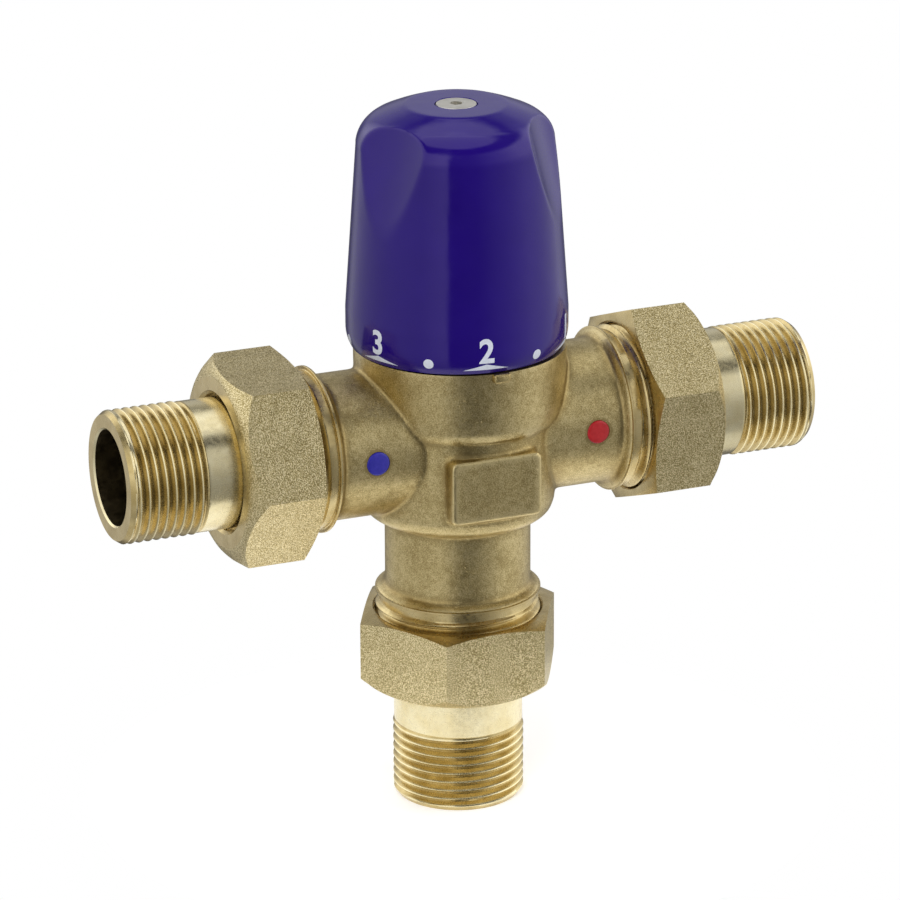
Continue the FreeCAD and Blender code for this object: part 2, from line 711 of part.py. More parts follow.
def make_spool():
    spool = turned("mixing_spool", [
        ("guide_radius + spool_hub_gap", "hub_foot"),
        ("spool_hub_radius", "hub_foot"),
        ("spool_hub_radius", "web_low"),
        ("spool_waist_radius", "web_low"),
        ("spool_waist_radius", "axis - spool_waist_half"),
        ("spool_rim_radius", "axis - spool_waist_half - (spool_rim_radius - spool_waist_radius)"),
        ("spool_rim_radius", "spool_low"),
        ("spool_radius - spool_edge", "spool_low"),
        ("spool_radius", "spool_low + spool_edge"),
        ("spool_radius", "axis - spool_seal_width / 2"),
        ("spool_seal_floor", "axis - spool_seal_width / 2"),
        ("spool_seal_floor", "axis + spool_seal_width / 2"),
        ("spool_radius", "axis + spool_seal_width / 2"),
        ("spool_radius", "spool_high - spool_edge"),
        ("spool_radius - spool_edge", "spool_high"),
        ("spool_rim_radius", "spool_high"),
        ("spool_rim_radius", "axis + spool_waist_half + (spool_rim_radius - spool_waist_radius)"),
        ("spool_waist_radius", "axis + spool_waist_half"),
        ("spool_waist_radius", "web_high"),
        ("guide_radius + spool_hub_gap", "web_high"),
    ])
    hole = spool.newObject("Sketcher::SketchObject", "mixing_spool_hole")
    hole.AttachmentSupport = [(next(f for f in spool.Origin.OriginFeatures if f.Role == "XY_Plane"), "")]
    hole.MapMode = "FlatFace"
    hole.addGeometry(Part.Circle(FreeCAD.Vector(value("spool_hole_circle"), 0, 0), FreeCAD.Vector(0, 0, 1), 1))
    hole.addConstraint(Sketcher.Constraint("PointOnObject", 0, 3, -1))
    for kind, ends, formula in (("DistanceX", (-1, 1, 0, 3), "spool_hole_circle"), ("Radius", (0,), "spool_hole_radius")):
        index = hole.addConstraint(Sketcher.Constraint(kind, *ends, value(formula)))
        hole.setExpression(f"Constraints[{index}]", bound(formula))
    pocket = spool.newObject("PartDesign::Pocket", "mixing_spool_hole_cut")
    pocket.Profile = hole
    pocket.Type = "Length"
    pocket.Reversed = True
    bind(pocket, Length="spool_high")
    around = spool.newObject("PartDesign::PolarPattern", "mixing_spool_holes")
    around.Originals = [pocket]
    around.Axis = (next(f for f in spool.Origin.OriginFeatures if f.Role == "Z_Axis"), [""])
    around.Angle = 360
    bind(around, Occurrences="spool_hole_count")
    spool.Tip = around
    keep(spool, "mixing_spool")
    put(o_ring("spool_seal", "spool_seal_floor", "spool_bore_radius"), z="axis")


def make_element():
    element = turned("wax_element", [
        ("0", "bulb_foot"),
        ("bulb_radius - bulb_round", "bulb_foot"),
        ("bulb_radius", "bulb_foot + bulb_round"),
        ("bulb_radius", "hub_foot - element_collar"),
        ("element_collar_radius", "hub_foot - element_collar"),
        ("element_collar_radius", "hub_foot"),
        ("guide_radius", "hub_foot"),
        ("guide_radius", "web_high + clip_slot_gap"),
        ("element_clip_inner", "web_high + clip_slot_gap"),
        ("element_clip_inner", "web_high + clip_slot_gap + clip_thickness"),
        ("guide_radius", "web_high + clip_slot_gap + clip_thickness"),
        ("guide_radius", "guide_top"),
        ("piston_radius + piston_gap", "guide_top"),
        ("piston_radius + piston_gap", "axis - piston_pocket_drop"),
        ("0", "axis - piston_pocket_drop"),
    ])
    keep(element, "wax_element")
    clip("element_clip", "element_clip_inner", "element_clip_outer", "web_high + clip_slot_gap")
    piston = cylinder("piston", "piston_radius", "piston_top - piston_foot")
    keep(put(piston, z="piston_foot"), "piston")


def clip(node, inner, outer, height):
    """A flat spring clip: a ring with a gap at the back."""
    ring = turned(f"{node}_ring", [(inner, "0"), (outer, "0"), (outer, "clip_thickness"), (inner, "clip_thickness")])
    gap = box(f"{node}_gap", f"{outer} * 1.2", f"{outer} * 1.2", "clip_thickness")
    gap.Placement = FreeCAD.Placement(FreeCAD.Vector(), FreeCAD.Rotation(FreeCAD.Vector(0, 0, 1), RIGHT_ANGLE / 2))
    return keep(put(cut(node, ring, gap), z=height), node)


def make_springs():
    put(coil("return_spring", "return_coil_radius", "return_wire_radius", "return_turns",
             value("web_low") - value("spring_ledge")), z="spring_ledge")
    put(coil("overload_spring", "overload_coil_radius", "overload_wire_radius", "overload_turns",
             value("cell_top") - value("cup_flange_top")), z="cup_flange_top")


# ---------------------------------------------------------------- head, stop ring, carriage and spindle

def make_head():
    shell = turned("bonnet_shell", [
        ("head_skirt_bore", "cold_seat"),
        ("head_skirt_radius", "cold_seat"),
        ("head_skirt_radius", "axis + head_plug_rise"),
        ("head_bore_radius_in", "axis + head_plug_rise"),
        ("head_bore_radius_in", "axis + head_seal_rise - head_seal_width / 2"),
        ("head_seal_floor", "axis + head_seal_rise - head_seal_width / 2"),
        ("head_seal_floor", "axis + head_seal_rise + head_seal_width / 2"),
        ("head_bore_radius_in", "axis + head_seal_rise + head_seal_width / 2"),
        ("head_bore_radius_in", "body_top + bowl_edge"),
        ("neck_radius", "body_top + bowl_edge"),
        ("neck_radius", "neck_top - bowl_edge"),
        ("neck_radius - bowl_edge", "neck_top"),
        ("boss_radius", "neck_top"),
        ("boss_radius", "head_top"),
        ("journal_bore_radius", "head_top"),
        ("journal_bore_radius", "thrust_face"),
        ("carriage_bore_radius", "thrust_face"),
        ("carriage_bore_radius", "axis + head_plug_rise + bowl_edge"),
        ("head_skirt_bore", "axis + head_plug_rise - bowl_edge"),
    ])
    hexagon = bind(doc.addObject("Part::Prism", "bonnet_hexagon"), Circumradius="head_flats / 2 / cos(30 deg)",
                   Height="head_hex_height")
    hexagon.Polygon = 6
    put(hexagon, z="body_top")
    core = cylinder("bonnet_hexagon_bore", "carriage_bore_radius", "head_hex_height")
    put(core, z="body_top")
    slots = box("bonnet_key_slots", "2 * key_slot_radius", "key_slot_width",
                "thrust_face - key_slot_stop - carriage_foot + 2 * spool_half")
    put(slots, x="-key_slot_radius", y="-key_slot_width / 2", z="carriage_foot - 2 * spool_half")
    keep(cut("bonnet", joined("bonnet_outside", shell, hexagon), core, slots), "bonnet")
    put(o_ring("bonnet_seal", "head_seal_floor", "head_bore_radius"), z="axis + head_seal_rise")
    ring = turned("stop_ring_band", [
        ("neck_radius + stop_ring_gap", "0"),
        ("stop_ring_radius", "0"),
        ("stop_ring_radius", "stop_ring_height"),
        ("neck_radius + stop_ring_gap", "stop_ring_height"),
    ])
    lug = radial_block("stop_ring_lug", "stop_ring_radius - merge_depth", "stop_lug_radius", "stop_lug_width",
                       "stop_ring_height", value("stop_lug_angle"))
    keep(put(joined("stop_ring", ring, lug), z="hex_top"), "stop_ring")


def radial_block(name, inner, outer, width, height, angle):
    """A block that reaches from one radius to another at an angle from +X."""
    block = padded(name, "XY_Plane", [
        (inner, f"-{width} / 2"), (outer, f"-{width} / 2"), (outer, f"{width} / 2"), (inner, f"{width} / 2"),
    ], height)
    block.Placement = FreeCAD.Placement(FreeCAD.Vector(), FreeCAD.Rotation(FreeCAD.Vector(0, 0, 1), angle))
    return block


def make_carriage():
    barrel = turned("regulating_nut_barrel", [
        ("carriage_cell_radius", "carriage_foot"),
        ("carriage_radius", "carriage_foot"),
        ("carriage_radius", "carriage_top"),
        ("spindle_thread_radius + carriage_thread_gap", "carriage_top"),
        ("spindle_thread_radius + carriage_thread_gap", "cell_top"),
        ("carriage_cell_radius", "cell_top"),
        ("carriage_cell_radius", "cup_foot + clip_slot_gap"),
        ("cage_clip_outer + clip_slot_gap", "cup_foot + clip_slot_gap"),
        ("cage_clip_outer + clip_slot_gap", "cage_clip_low"),
        ("carriage_cell_radius", "cage_clip_low"),
    ])
    keys = [radial_block(f"regulating_nut_key_{n}", "cage_clip_outer + merge_depth / 2", "key_radius", "key_width", "key_height",
                         2 * RIGHT_ANGLE * n) for n in range(2)]
    for key in keys:
        key.setExpression(".Placement.Base.z", bound("carriage_foot + key_low"))
    keep(joined("regulating_nut", barrel, *keys), "regulating_nut")
    clip("cage_clip", "cage_clip_inner", "cage_clip_outer", "cage_clip_low")
    cup = turned("spring_cup", [
        ("piston_radius + cup_pocket_gap", "cup_foot"),
        ("cup_radius", "cup_foot"),
        ("cup_radius", "cup_flange_top"),
        ("cup_boss_radius", "cup_flange_top"),
        ("cup_boss_radius", "cup_flange_top + cup_boss_height"),
        ("0", "cup_flange_top + cup_boss_height"),
        ("0", "piston_top"),
        ("piston_radius + cup_pocket_gap", "piston_top"),
    ])
    keep(cup, "spring_cup")


def make_spindle():
    spindle = turned("spindle", [
        ("0", "spindle_foot"),
        ("spindle_thread_radius", "spindle_foot"),
        ("spindle_thread_radius", "collar_foot"),
        ("spindle_collar_radius", "collar_foot"),
        ("spindle_collar_radius", "collar_top"),
        ("journal_radius", "collar_top"),
        ("journal_radius", "thrust_face + spindle_seal_rise - spindle_seal_width / 2"),
        ("spindle_seal_floor", "thrust_face + spindle_seal_rise - spindle_seal_width / 2"),
        ("spindle_seal_floor", "thrust_face + spindle_seal_rise + spindle_seal_width / 2"),
        ("journal_radius", "thrust_face + spindle_seal_rise + spindle_seal_width / 2"),
        ("journal_radius", "spindle_clip_low"),
        ("spindle_clip_inner", "spindle_clip_low"),
        ("spindle_clip_inner", "spindle_clip_high + clip_slot_gap"),
        ("spindle_head_radius", "spindle_clip_high + clip_slot_gap"),
        ("spindle_head_radius", "spindle_top"),
        ("screw_hole_radius", "spindle_top"),
        ("screw_hole_radius", "spindle_top - screw_hole_depth"),
        ("0", "spindle_top - screw_hole_depth"),
    ])
    keep(spindle, "spindle")
    put(o_ring("spindle_seal", "spindle_seal_floor", "journal_radius"), z="thrust_face + spindle_seal_rise")
    clip("spindle_clip", "spindle_clip_inner", "spindle_clip_outer", "spindle_clip_low")
    washer = turned("thrust_washer", [
        ("journal_radius + thrust_washer_gap", "0"),
        ("spindle_collar_radius", "0"),
        ("spindle_collar_radius", "thrust_washer_thickness"),
        ("journal_radius + thrust_washer_gap", "thrust_washer_thickness"),
    ])
    keep(put(washer, z="thrust_face - thrust_washer_thickness"), "thrust_washer")


# ---------------------------------------------------------------- dial and its screw

def make_dial():
    shell = turned("dial_shell", [
        ("dial_band_radius - dial_wall", "dial_foot"),
        ("dial_band_radius - dial_rim_edge", "dial_foot"),
        ("dial_band_radius", "dial_foot + dial_rim_edge"),
        ("dial_band_radius", "dial_foot + dial_band_height"),
        ("dial_shoulder_radius", "dial_shoulder"),
        ("dial_dome_radius", "dial_top - dial_dome_drop"),
        ("screw_head_radius + screw_head_gap", "dial_top"),
        ("screw_head_radius + screw_head_gap", "screw_floor"),
        ("screw_radius + dial_hub_gap", "screw_floor"),
        ("screw_radius + dial_hub_gap", "spindle_top + screw_head_gap"),
        ("spindle_head_radius + dial_hub_gap", "spindle_top + screw_head_gap"),
        ("spindle_head_radius + dial_hub_gap", "dial_hub_foot"),
        ("dial_hub_radius", "dial_hub_foot"),
        ("dial_hub_radius", "dial_top - dial_roof"),
        ("dial_cell_radius", "dial_top - dial_roof"),
        ("dial_band_radius - dial_wall", "dial_foot + dial_cell_band"),
    ])
    round_rims(shell, [("dial_shoulder_radius", "dial_shoulder")], "dial_top_round")
    step = 360 / value("dial_grip_count")
    tilt = math.degrees(math.atan(value("dial_grip_depth") / value("dial_grip_length") + value("dial_lean")))
    grips = []
    for n in range(int(value("dial_grip_count"))):
        grip = cylinder(f"dial_grip_{n}", "dial_grip_radius", "dial_grip_length")
        angle = value("dial_grip_angle") + n * step - RIGHT_ANGLE
        lean = FreeCAD.Rotation(FreeCAD.Vector(0, 1, 0), -tilt)
        spin = FreeCAD.Rotation(FreeCAD.Vector(0, 0, 1), angle)
        tip = FreeCAD.Vector(value("dial_grip_foot_radius"), 0, value("dial_grip_foot"))
        out = lean.multVec(FreeCAD.Vector(value("dial_grip_radius"), 0, 0))
        grip.Placement = FreeCAD.Placement(spin.multVec(tip + out), spin.multiply(lean))
        grips.append(grip)
    rib = radial_block("dial_rib", "dial_rib_inner", "dial_band_radius - dial_wall / 2", "stop_lug_width",
                       "dial_rib_height", value("stop_lug_angle") + value("dial_rib_lead"))
    rib.setExpression(".Placement.Base.z", bound("dial_foot + dial_rib_low"))
    keep(joined("control_knob", cut("dial_gripped", shell, *grips), rib), "control_knob")
    screw = turned("knob_screw_blank", [
        ("0", "screw_floor - screw_length"),
        ("screw_radius", "screw_floor - screw_length"),
        ("screw_radius", "screw_floor"),
        ("screw_head_radius", "screw_floor"),
        ("screw_head_radius", "screw_floor + screw_head_height - screw_head_gap"),
        ("screw_head_radius - screw_head_gap", "screw_floor + screw_head_height"),
        ("0", "screw_floor + screw_head_height"),
    ])
    socket = bind(doc.addObject("Part::Prism", "knob_screw_socket"), Height="screw_socket_depth",
                  Circumradius="screw_socket_flats / 2 / cos(30 deg)")
    socket.Polygon = 6
    put(socket, z="screw_floor + screw_head_height - screw_socket_depth")
    keep(cut("knob_screw", screw, socket), "knob_screw")


# ---------------------------------------------------------------- check valves in the inlets

def make_checks():
    for name, side in (("cold", -1), ("hot", 1)):
        case = turned(f"{name}_check_case", [
            ("check_mouth_radius", "0"),
            ("check_radius", "0"),
            ("check_radius", "check_seal_start"),
            ("check_seal_floor", "check_seal_start"),
            ("check_seal_floor", "check_seal_start + check_seal_width"),
            ("check_radius", "check_seal_start + check_seal_width"),
            ("check_radius", "check_length"),
            ("check_wall_radius", "check_length"),
            ("check_wall_radius", "check_seat_back"),
            ("check_seat_radius", "check_seat_back"),
            ("check_seat_radius", "check_mouth"),
            ("check_mouth_radius", "check_mouth"),
        ])
        boss = cylinder(f"{name}_check_boss", "check_boss_radius", "check_boss_length")
        put(boss, z="check_boss_start")
        count = int(value("check_arm_count"))
        arms = [radial_block(f"{name}_check_arm_{n}", "check_stem_hole + merge_depth / 2", "(check_wall_radius + check_radius) / 2",
                             "check_arm_width", "check_boss_length", 360 * n / count) for n in range(count)]
        for arm in arms:
            arm.setExpression(".Placement.Base.z", bound("check_boss_start"))
        hole = cylinder(f"{name}_check_stem_hole", "check_stem_hole", "check_boss_length")
        put(hole, z="check_boss_start")
        housing = cut(f"{name}_check_housing", joined(f"{name}_check_spider", case, boss, *arms), hole)
        poppet = turned(f"{name}_check_poppet", [
            ("0", "check_mouth"),
            ("check_nose_radius - check_mouth / 2", "check_mouth"),
            ("check_nose_radius", "check_seat_back"),
            ("check_poppet_radius", "check_seat_back"),
            ("check_poppet_radius", "check_seat_back + check_poppet"),
            ("check_stem_hole - check_stem_gap", "check_seat_back + check_poppet"),
            ("check_stem_hole - check_stem_gap", "check_seat_back + check_poppet + check_stem_length"),
            ("0", "check_seat_back + check_poppet + check_stem_length"),
        ])
        seal = o_ring(f"{name}_check_seal", "check_seal_floor", "chamber_radius")
        spring_start = value("check_seat_back") + value("check_poppet")
        spring = coil(f"{name}_check_spring", "check_coil_radius", "check_wire_radius", "check_turns",
                      value("check_boss_start") - spring_start)
        inwards = about_x(-side)
        for thing, node, depth in (
                (housing, "check_housing", "0"),
                (poppet, "check_poppet", "0"),
                (seal, "check_seal", "check_seal_start + check_seal_width / 2"),
                (spring, "check_spring", "check_seat_back + check_poppet")):
            put(thing, x=f"{side} * (check_face - ({depth}))", z="axis", rotation=inwards)
            keep(thing, f"{name}_{node}")


# ---------------------------------------------------------------- build, test and write

def write_parts():
    doc.recompute()
    broken = [thing.Name for thing in doc.Objects if "Invalid" in thing.State or "Error" in thing.State]
    for node, thing in finished.items():
        if thing.Shape.isNull() or not thing.Shape.isValid() or not thing.Shape.Solids:
            broken.append(node)
    if broken:
        raise SystemExit("not written, broken: " + ", ".join(broken))
    os.makedirs("parts", exist_ok=True)
    for node, thing in finished.items():
        thing.Shape.exportStep(os.path.join("parts", node + ".step"))
        print(f"{node:22s} solids {len(thing.Shape.Solids)}  volume {thing.Shape.Volume:10.2f} mm3")


make_body()
make_markers()
make_unions()
make_hot_seat()
make_spool()
make_element()
make_springs()
make_head()
make_carriage()
make_spindle()
make_dial()
make_checks()
write_parts()
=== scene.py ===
"""Looks of the thermo mixing valve: forged brass body, turned tails, forged nuts and a moulded blue dial.

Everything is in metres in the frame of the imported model: +Z up the dial's axis, +X along the inlet line
towards the hot side, -Y to the front.
"""
import json
import math

import bmesh
import bpy
import numpy as np
from mathutils import Matrix, Vector


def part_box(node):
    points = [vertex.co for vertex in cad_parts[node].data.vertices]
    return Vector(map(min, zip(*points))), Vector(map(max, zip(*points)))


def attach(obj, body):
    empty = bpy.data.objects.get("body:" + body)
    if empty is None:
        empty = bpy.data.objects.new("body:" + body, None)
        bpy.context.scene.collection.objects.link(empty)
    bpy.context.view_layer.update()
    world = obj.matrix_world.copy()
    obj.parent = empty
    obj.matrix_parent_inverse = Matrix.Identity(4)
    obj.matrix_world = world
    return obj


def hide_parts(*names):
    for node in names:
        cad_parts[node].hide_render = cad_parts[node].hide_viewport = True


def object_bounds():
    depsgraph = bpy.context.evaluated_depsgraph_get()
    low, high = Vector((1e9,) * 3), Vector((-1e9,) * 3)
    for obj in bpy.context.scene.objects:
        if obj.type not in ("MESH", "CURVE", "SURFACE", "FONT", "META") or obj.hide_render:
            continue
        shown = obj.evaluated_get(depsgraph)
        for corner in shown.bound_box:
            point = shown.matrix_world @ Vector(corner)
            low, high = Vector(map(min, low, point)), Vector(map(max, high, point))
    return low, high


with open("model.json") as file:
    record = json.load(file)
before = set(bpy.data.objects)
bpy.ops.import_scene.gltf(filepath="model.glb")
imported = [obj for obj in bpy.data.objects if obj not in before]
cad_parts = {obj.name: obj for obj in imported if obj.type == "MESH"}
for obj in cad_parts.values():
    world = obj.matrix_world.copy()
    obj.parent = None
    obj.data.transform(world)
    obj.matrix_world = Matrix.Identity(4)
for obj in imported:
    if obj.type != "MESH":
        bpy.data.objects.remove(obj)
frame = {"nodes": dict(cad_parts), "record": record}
cad_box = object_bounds()
scene = bpy.context.scene
nodes_by_name = frame["nodes"]
MM = 0.001

# ------------------------------------------------------------------ studio
# A pale floor, a white room with soft panels, three soft lamps and one camera. The room is drawn by
# direction: bright panels at both sides, a dark gap near the camera, a grey wall behind, a panel overhead.
CAMERA_AT = Vector((-0.38727, -0.92074, 0.43048))
CAMERA_TARGET = Vector((-0.001577, 0.0, 0.072863))
CAMERA_LENS = 213.25
CAMERA_ROLL = math.radians(-0.212)

camera_data = bpy.data.cameras.new("camera")
camera_data.lens = CAMERA_LENS
camera_data.sensor_width = 36.0
camera_data.clip_start = 0.05
camera = bpy.data.objects.new("camera", camera_data)
scene.collection.objects.link(camera)
look_back = (CAMERA_AT - CAMERA_TARGET).normalized()
look_right = Vector((0, 0, 1)).cross(look_back).normalized()
look_up = look_back.cross(look_right)
turned_right = math.cos(CAMERA_ROLL) * look_right + math.sin(CAMERA_ROLL) * look_up
turned_up = look_back.cross(turned_right)
camera_axes = Matrix((turned_right, turned_up, look_back)).transposed().to_4x4()
camera.matrix_world = Matrix.Translation(CAMERA_AT) @ camera_axes
scene.camera = camera
scene.view_settings.view_transform = "Standard"


def link_up(tree, pairs):
    """Joins (output, input) pairs of sockets."""
    for source, target in pairs:
        tree.links.new(source, target)


def ramp(tree, stops):
    """A colour ramp of plain greys or colours from (place, value) stops."""
    node = tree.nodes.new("ShaderNodeValToRGB")
    bar = node.color_ramp.elements
    while len(bar) < len(stops):
        bar.new(0.5)
    for spot, (place, shade) in zip(bar, stops):
        spot.position = place
        spot.color = (*shade, 1) if isinstance(shade, tuple) else (shade, shade, shade, 1)
    return node


def math_node(tree, operation, first, second=None):
    """A sum on numbers or sockets; returns the socket that holds its answer."""
    node = tree.nodes.new("ShaderNodeMath")
    node.operation = operation
    for slot, item in ((0, first), (1, second)):
        if isinstance(item, (int, float)):
            node.inputs[slot].default_value = item
        elif item is not None:
            tree.links.new(item, node.inputs[slot])
    return node.outputs[0]


room = bpy.data.worlds.new("white_room")
scene.world = room
room.use_nodes = True
tree = room.node_tree
tree.nodes.clear()
direction = tree.nodes.new("ShaderNodeTexCoord")
split = tree.nodes.new("ShaderNodeSeparateXYZ")
link_up(tree, [(direction.outputs["Generated"], split.inputs[0])])
backwards = math_node(tree, "MULTIPLY", split.outputs["Y"], -1.0)
bearing = math_node(tree, "ARCTAN2", split.outputs["X"], backwards)
bearing01 = math_node(tree, "ADD", math_node(tree, "DIVIDE", bearing, 2 * math.pi), 0.5)
height = math_node(tree, "ARCSINE", split.outputs["Z"])
height01 = math_node(tree, "ADD", math_node(tree, "DIVIDE", height, math.pi), 0.5)


def at_bearing(degrees):
    """A bearing from the front as a place on a ramp."""
    return degrees / 360 + 0.5


def at_height(degrees):
    """A height above level as a place on a ramp."""
    return degrees / 180 + 0.5


side_panels = ramp(tree, [
    (at_bearing(-180), 0.18), (at_bearing(-165), 0.95), (at_bearing(-120), 0.95), (at_bearing(-60), 0.85),
    (at_bearing(-32.5), 1.25), (at_bearing(-31.0), 0.10), (at_bearing(0), 0.16), (at_bearing(30), 0.62),
    (at_bearing(60), 1.20), (at_bearing(112), 1.25), (at_bearing(135), 0.25), (at_bearing(180), 0.18),
])
side_band = ramp(tree, [
    (at_height(-60), 0.0), (at_height(-48), 0.45), (at_height(-12), 0.72), (at_height(4), 0.95),
    (at_height(14), 1.25), (at_height(41), 1.25), (at_height(47), 0.12), (at_height(62), 0.12),
    (at_height(66), 0.0),
])
over_and_under = ramp(tree, [
    (at_height(-90), 0.6), (at_height(-60), 0.6), (at_height(-50), 0.0), (at_height(62), 0.0),
    (at_height(66), 1.0), (at_height(90), 1.0),
])
back_wall = ramp(tree, [
    (at_bearing(-180), 0.45), (at_bearing(-130), 0.40), (at_bearing(-110), 0.0), (at_bearing(110), 0.0),
    (at_bearing(130), 0.40), (at_bearing(180), 0.45),
])
back_band = ramp(tree, [
    (at_height(-2), 0.0), (at_height(8), 0.6), (at_height(30), 0.6), (at_height(36), 0.1),
    (at_height(49), 0.1), (at_height(53), 2.4), (at_height(64), 2.4), (at_height(67), 0.0),
])
link_up(tree, [
    (bearing01, side_panels.inputs[0]), (height01, side_band.inputs[0]),
    (height01, over_and_under.inputs[0]), (bearing01, back_wall.inputs[0]),
    (height01, back_band.inputs[0]),
])
panels = math_node(tree, "MULTIPLY", side_panels.outputs[0], side_band.outputs[0])
wall = math_node(tree, "MULTIPLY", back_wall.outputs[0], back_band.outputs[0])
overhead = math_node(tree, "MULTIPLY", over_and_under.outputs[0], 1.15)
seen_in_gloss = math_node(tree, "ADD", math_node(tree, "ADD", panels, wall), overhead)
path = tree.nodes.new("ShaderNodeLightPath")
mirrored = math_node(tree, "MAXIMUM", path.outputs["Is Glossy Ray"], path.outputs["Is Transmission Ray"])
soft_room = tree.nodes.new("ShaderNodeBackground")
soft_room.inputs["Strength"].default_value = 0.55
gloss_room = tree.nodes.new("ShaderNodeBackground")
white_backdrop = tree.nodes.new("ShaderNodeBackground")
for background in (soft_room, gloss_room, white_backdrop):
    background.inputs["Color"].default_value = (1, 1, 1, 1)
pick_gloss = tree.nodes.new("ShaderNodeMixShader")
pick_camera = tree.nodes.new("ShaderNodeMixShader")
world_out = tree.nodes.new("ShaderNodeOutputWorld")
link_up(tree, [
    (seen_in_gloss, gloss_room.inputs["Strength"]),
    (mirrored, pick_gloss.inputs[0]), (soft_room.outputs[0], pick_gloss.inputs[1]),
    (gloss_room.outputs[0], pick_gloss.inputs[2]),
    (path.outputs["Is Camera Ray"], pick_camera.inputs[0]), (pick_gloss.outputs[0], pick_camera.inputs[1]),
    (white_backdrop.outputs[0], pick_camera.inputs[2]),
    (pick_camera.outputs[0], world_out.inputs["Surface"]),
])

for name, place, size, power in (("key_box", (-0.55, -0.75, 0.95), 0.55, 6.0),
                                 ("fill_box", (0.80, -0.35, 0.55), 0.45, 2.4),
                                 ("back_box", (0.10, 0.85, 0.75), 0.50, 2.4)):
    lamp = bpy.data.lights.new(name, "AREA")
    lamp.shape = "SQUARE"
    lamp.size = size
    lamp.energy = power
    lamp_object = bpy.data.objects.new(name, lamp)
    scene.collection.objects.link(lamp_object)
    lamp_object.visible_glossy = False
    aim = Vector(place) - Vector((0, 0, 0.08))
    lamp_object.matrix_world = Matrix.Translation(place) @ aim.to_track_quat("Z", "Y").to_matrix().to_4x4()

FLOOR_RADIUS = 0.075
floor_mesh = bpy.data.meshes.new("floor")
bm = bmesh.new()
bmesh.ops.create_circle(bm, cap_ends=True, segments=96, radius=FLOOR_RADIUS)
bmesh.ops.translate(bm, verts=bm.verts, vec=(0, 0, cad_box[0][2]))
bm.to_mesh(floor_mesh)
bm.free()
floor = bpy.data.objects.new("floor", floor_mesh)
scene.collection.objects.link(floor)
pale = bpy.data.materials.new("pale_floor")
pale.use_nodes = True
tree = pale.node_tree
tree.nodes.clear()
matt = tree.nodes.new("ShaderNodeBsdfDiffuse")
matt.inputs["Color"].default_value = (0.80, 0.80, 0.80, 1)
glow = tree.nodes.new("ShaderNodeEmission")
glow.inputs["Strength"].default_value = 0.42
path = tree.nodes.new("ShaderNodeLightPath")
mirrored = math_node(tree, "MAXIMUM", path.outputs["Is Glossy Ray"], path.outputs["Is Transmission Ray"])
seen = math_node(tree, "MAXIMUM", path.outputs["Is Camera Ray"], mirrored)
both = tree.nodes.new("ShaderNodeAddShader")
pick = tree.nodes.new("ShaderNodeMixShader")
out = tree.nodes.new("ShaderNodeOutputMaterial")
link_up(tree, [
    (matt.outputs[0], both.inputs[0]), (glow.outputs[0], both.inputs[1]), (seen, pick.inputs[0]),
    (matt.outputs[0], pick.inputs[1]), (both.outputs[0], pick.inputs[2]),
    (pick.outputs[0], out.inputs["Surface"]),
])
floor_mesh.materials.append(pale)

# ------------------------------------------------------------------ forged body
# One hot forging in brass: bowl under the dial, round barrel, two inlet necks in line, outlet neck below,
# a raised blank plate, and the pointer on the bowl's rim. Shot-blasted all over, then bored and faced.
FACE_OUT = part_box("hot_gasket")[0][0]           # dial axis to an inlet port's face
OUTLET_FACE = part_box("outlet_gasket")[1][2]
INLET_AXIS = (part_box("hot_tail")[0][2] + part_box("hot_tail")[1][2]) / 2
BODY_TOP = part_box("body_casting")[1][2] - 1.3 * MM
BODY_LIP = BODY_TOP + 1.25 * MM                 # thin lip around the faced top, close under the dial
PORT_LENGTH = 11.9 * MM
PORT_START = FACE_OUT - PORT_LENGTH             # dial axis to where an inlet port's collar begins
OUTLET_COLLAR = OUTLET_FACE + PORT_LENGTH
PORT_RADIUS = 16.62 * MM
NECK_RADIUS = 14.6 * MM
COLLAR_RADIUS = 16.5 * MM
FLARE = 1.2 * MM                                # over which a neck widens to its collar
BARREL_RADIUS = 19.4 * MM
BARREL_FOOT = INLET_AXIS - 17.4 * MM
BOWL_RADIUS = 21.15 * MM
BOWL_SHIFT = 0.6 * MM
LEDGE = INLET_AXIS + 3.4 * MM
PLATE_HALF = (9.55 * MM, 6.5 * MM)
PLATE_CENTRE = INLET_AXIS - 6.2 * MM
PLATE_FRONT = -20.4 * MM
PLATE_BACK = -14.0 * MM
PLATE_CORNER = 1.3 * MM
SOFTENINGS = 9                                  # smoothing rounds for the forging's inner corners
PLATE_SOFTENINGS = 3                            # the plate takes part in so many of them
SOFT_BEHIND = PLATE_FRONT + 1.7 * MM
# painted light: the share of the forging's bend in its colour, lighter on ridges and darker in creases
PAINTED_BEND_LIGHT_SHARE = 0.12
BEND_FULL = 0.012 * MM                          # a bend that counts as fully hollow or proud
BEND_BLURS = 6
FORGING_CELL = 0.36 * MM
GRAIN_CELL = 0.22 * MM
EXTRA = 1.0 * MM                                # stock left on for the machined faces


def lay(bm, verts, around, shift=(0, 0, 0)):
    """Turns pieces made along +Z to run along another axis, then moves them into place."""
    turns = {"Z": Matrix.Identity(3), "-Z": Matrix.Rotation(math.pi, 3, "X"),
             "X": Matrix.Rotation(math.pi / 2, 3, "Y"), "-X": Matrix.Rotation(-math.pi / 2, 3, "Y"),
             "-Y": Matrix.Rotation(math.pi / 2, 3, "X")}
    bmesh.ops.rotate(bm, verts=verts, cent=(0, 0, 0), matrix=turns[around])
    bmesh.ops.translate(bm, verts=verts, vec=shift)


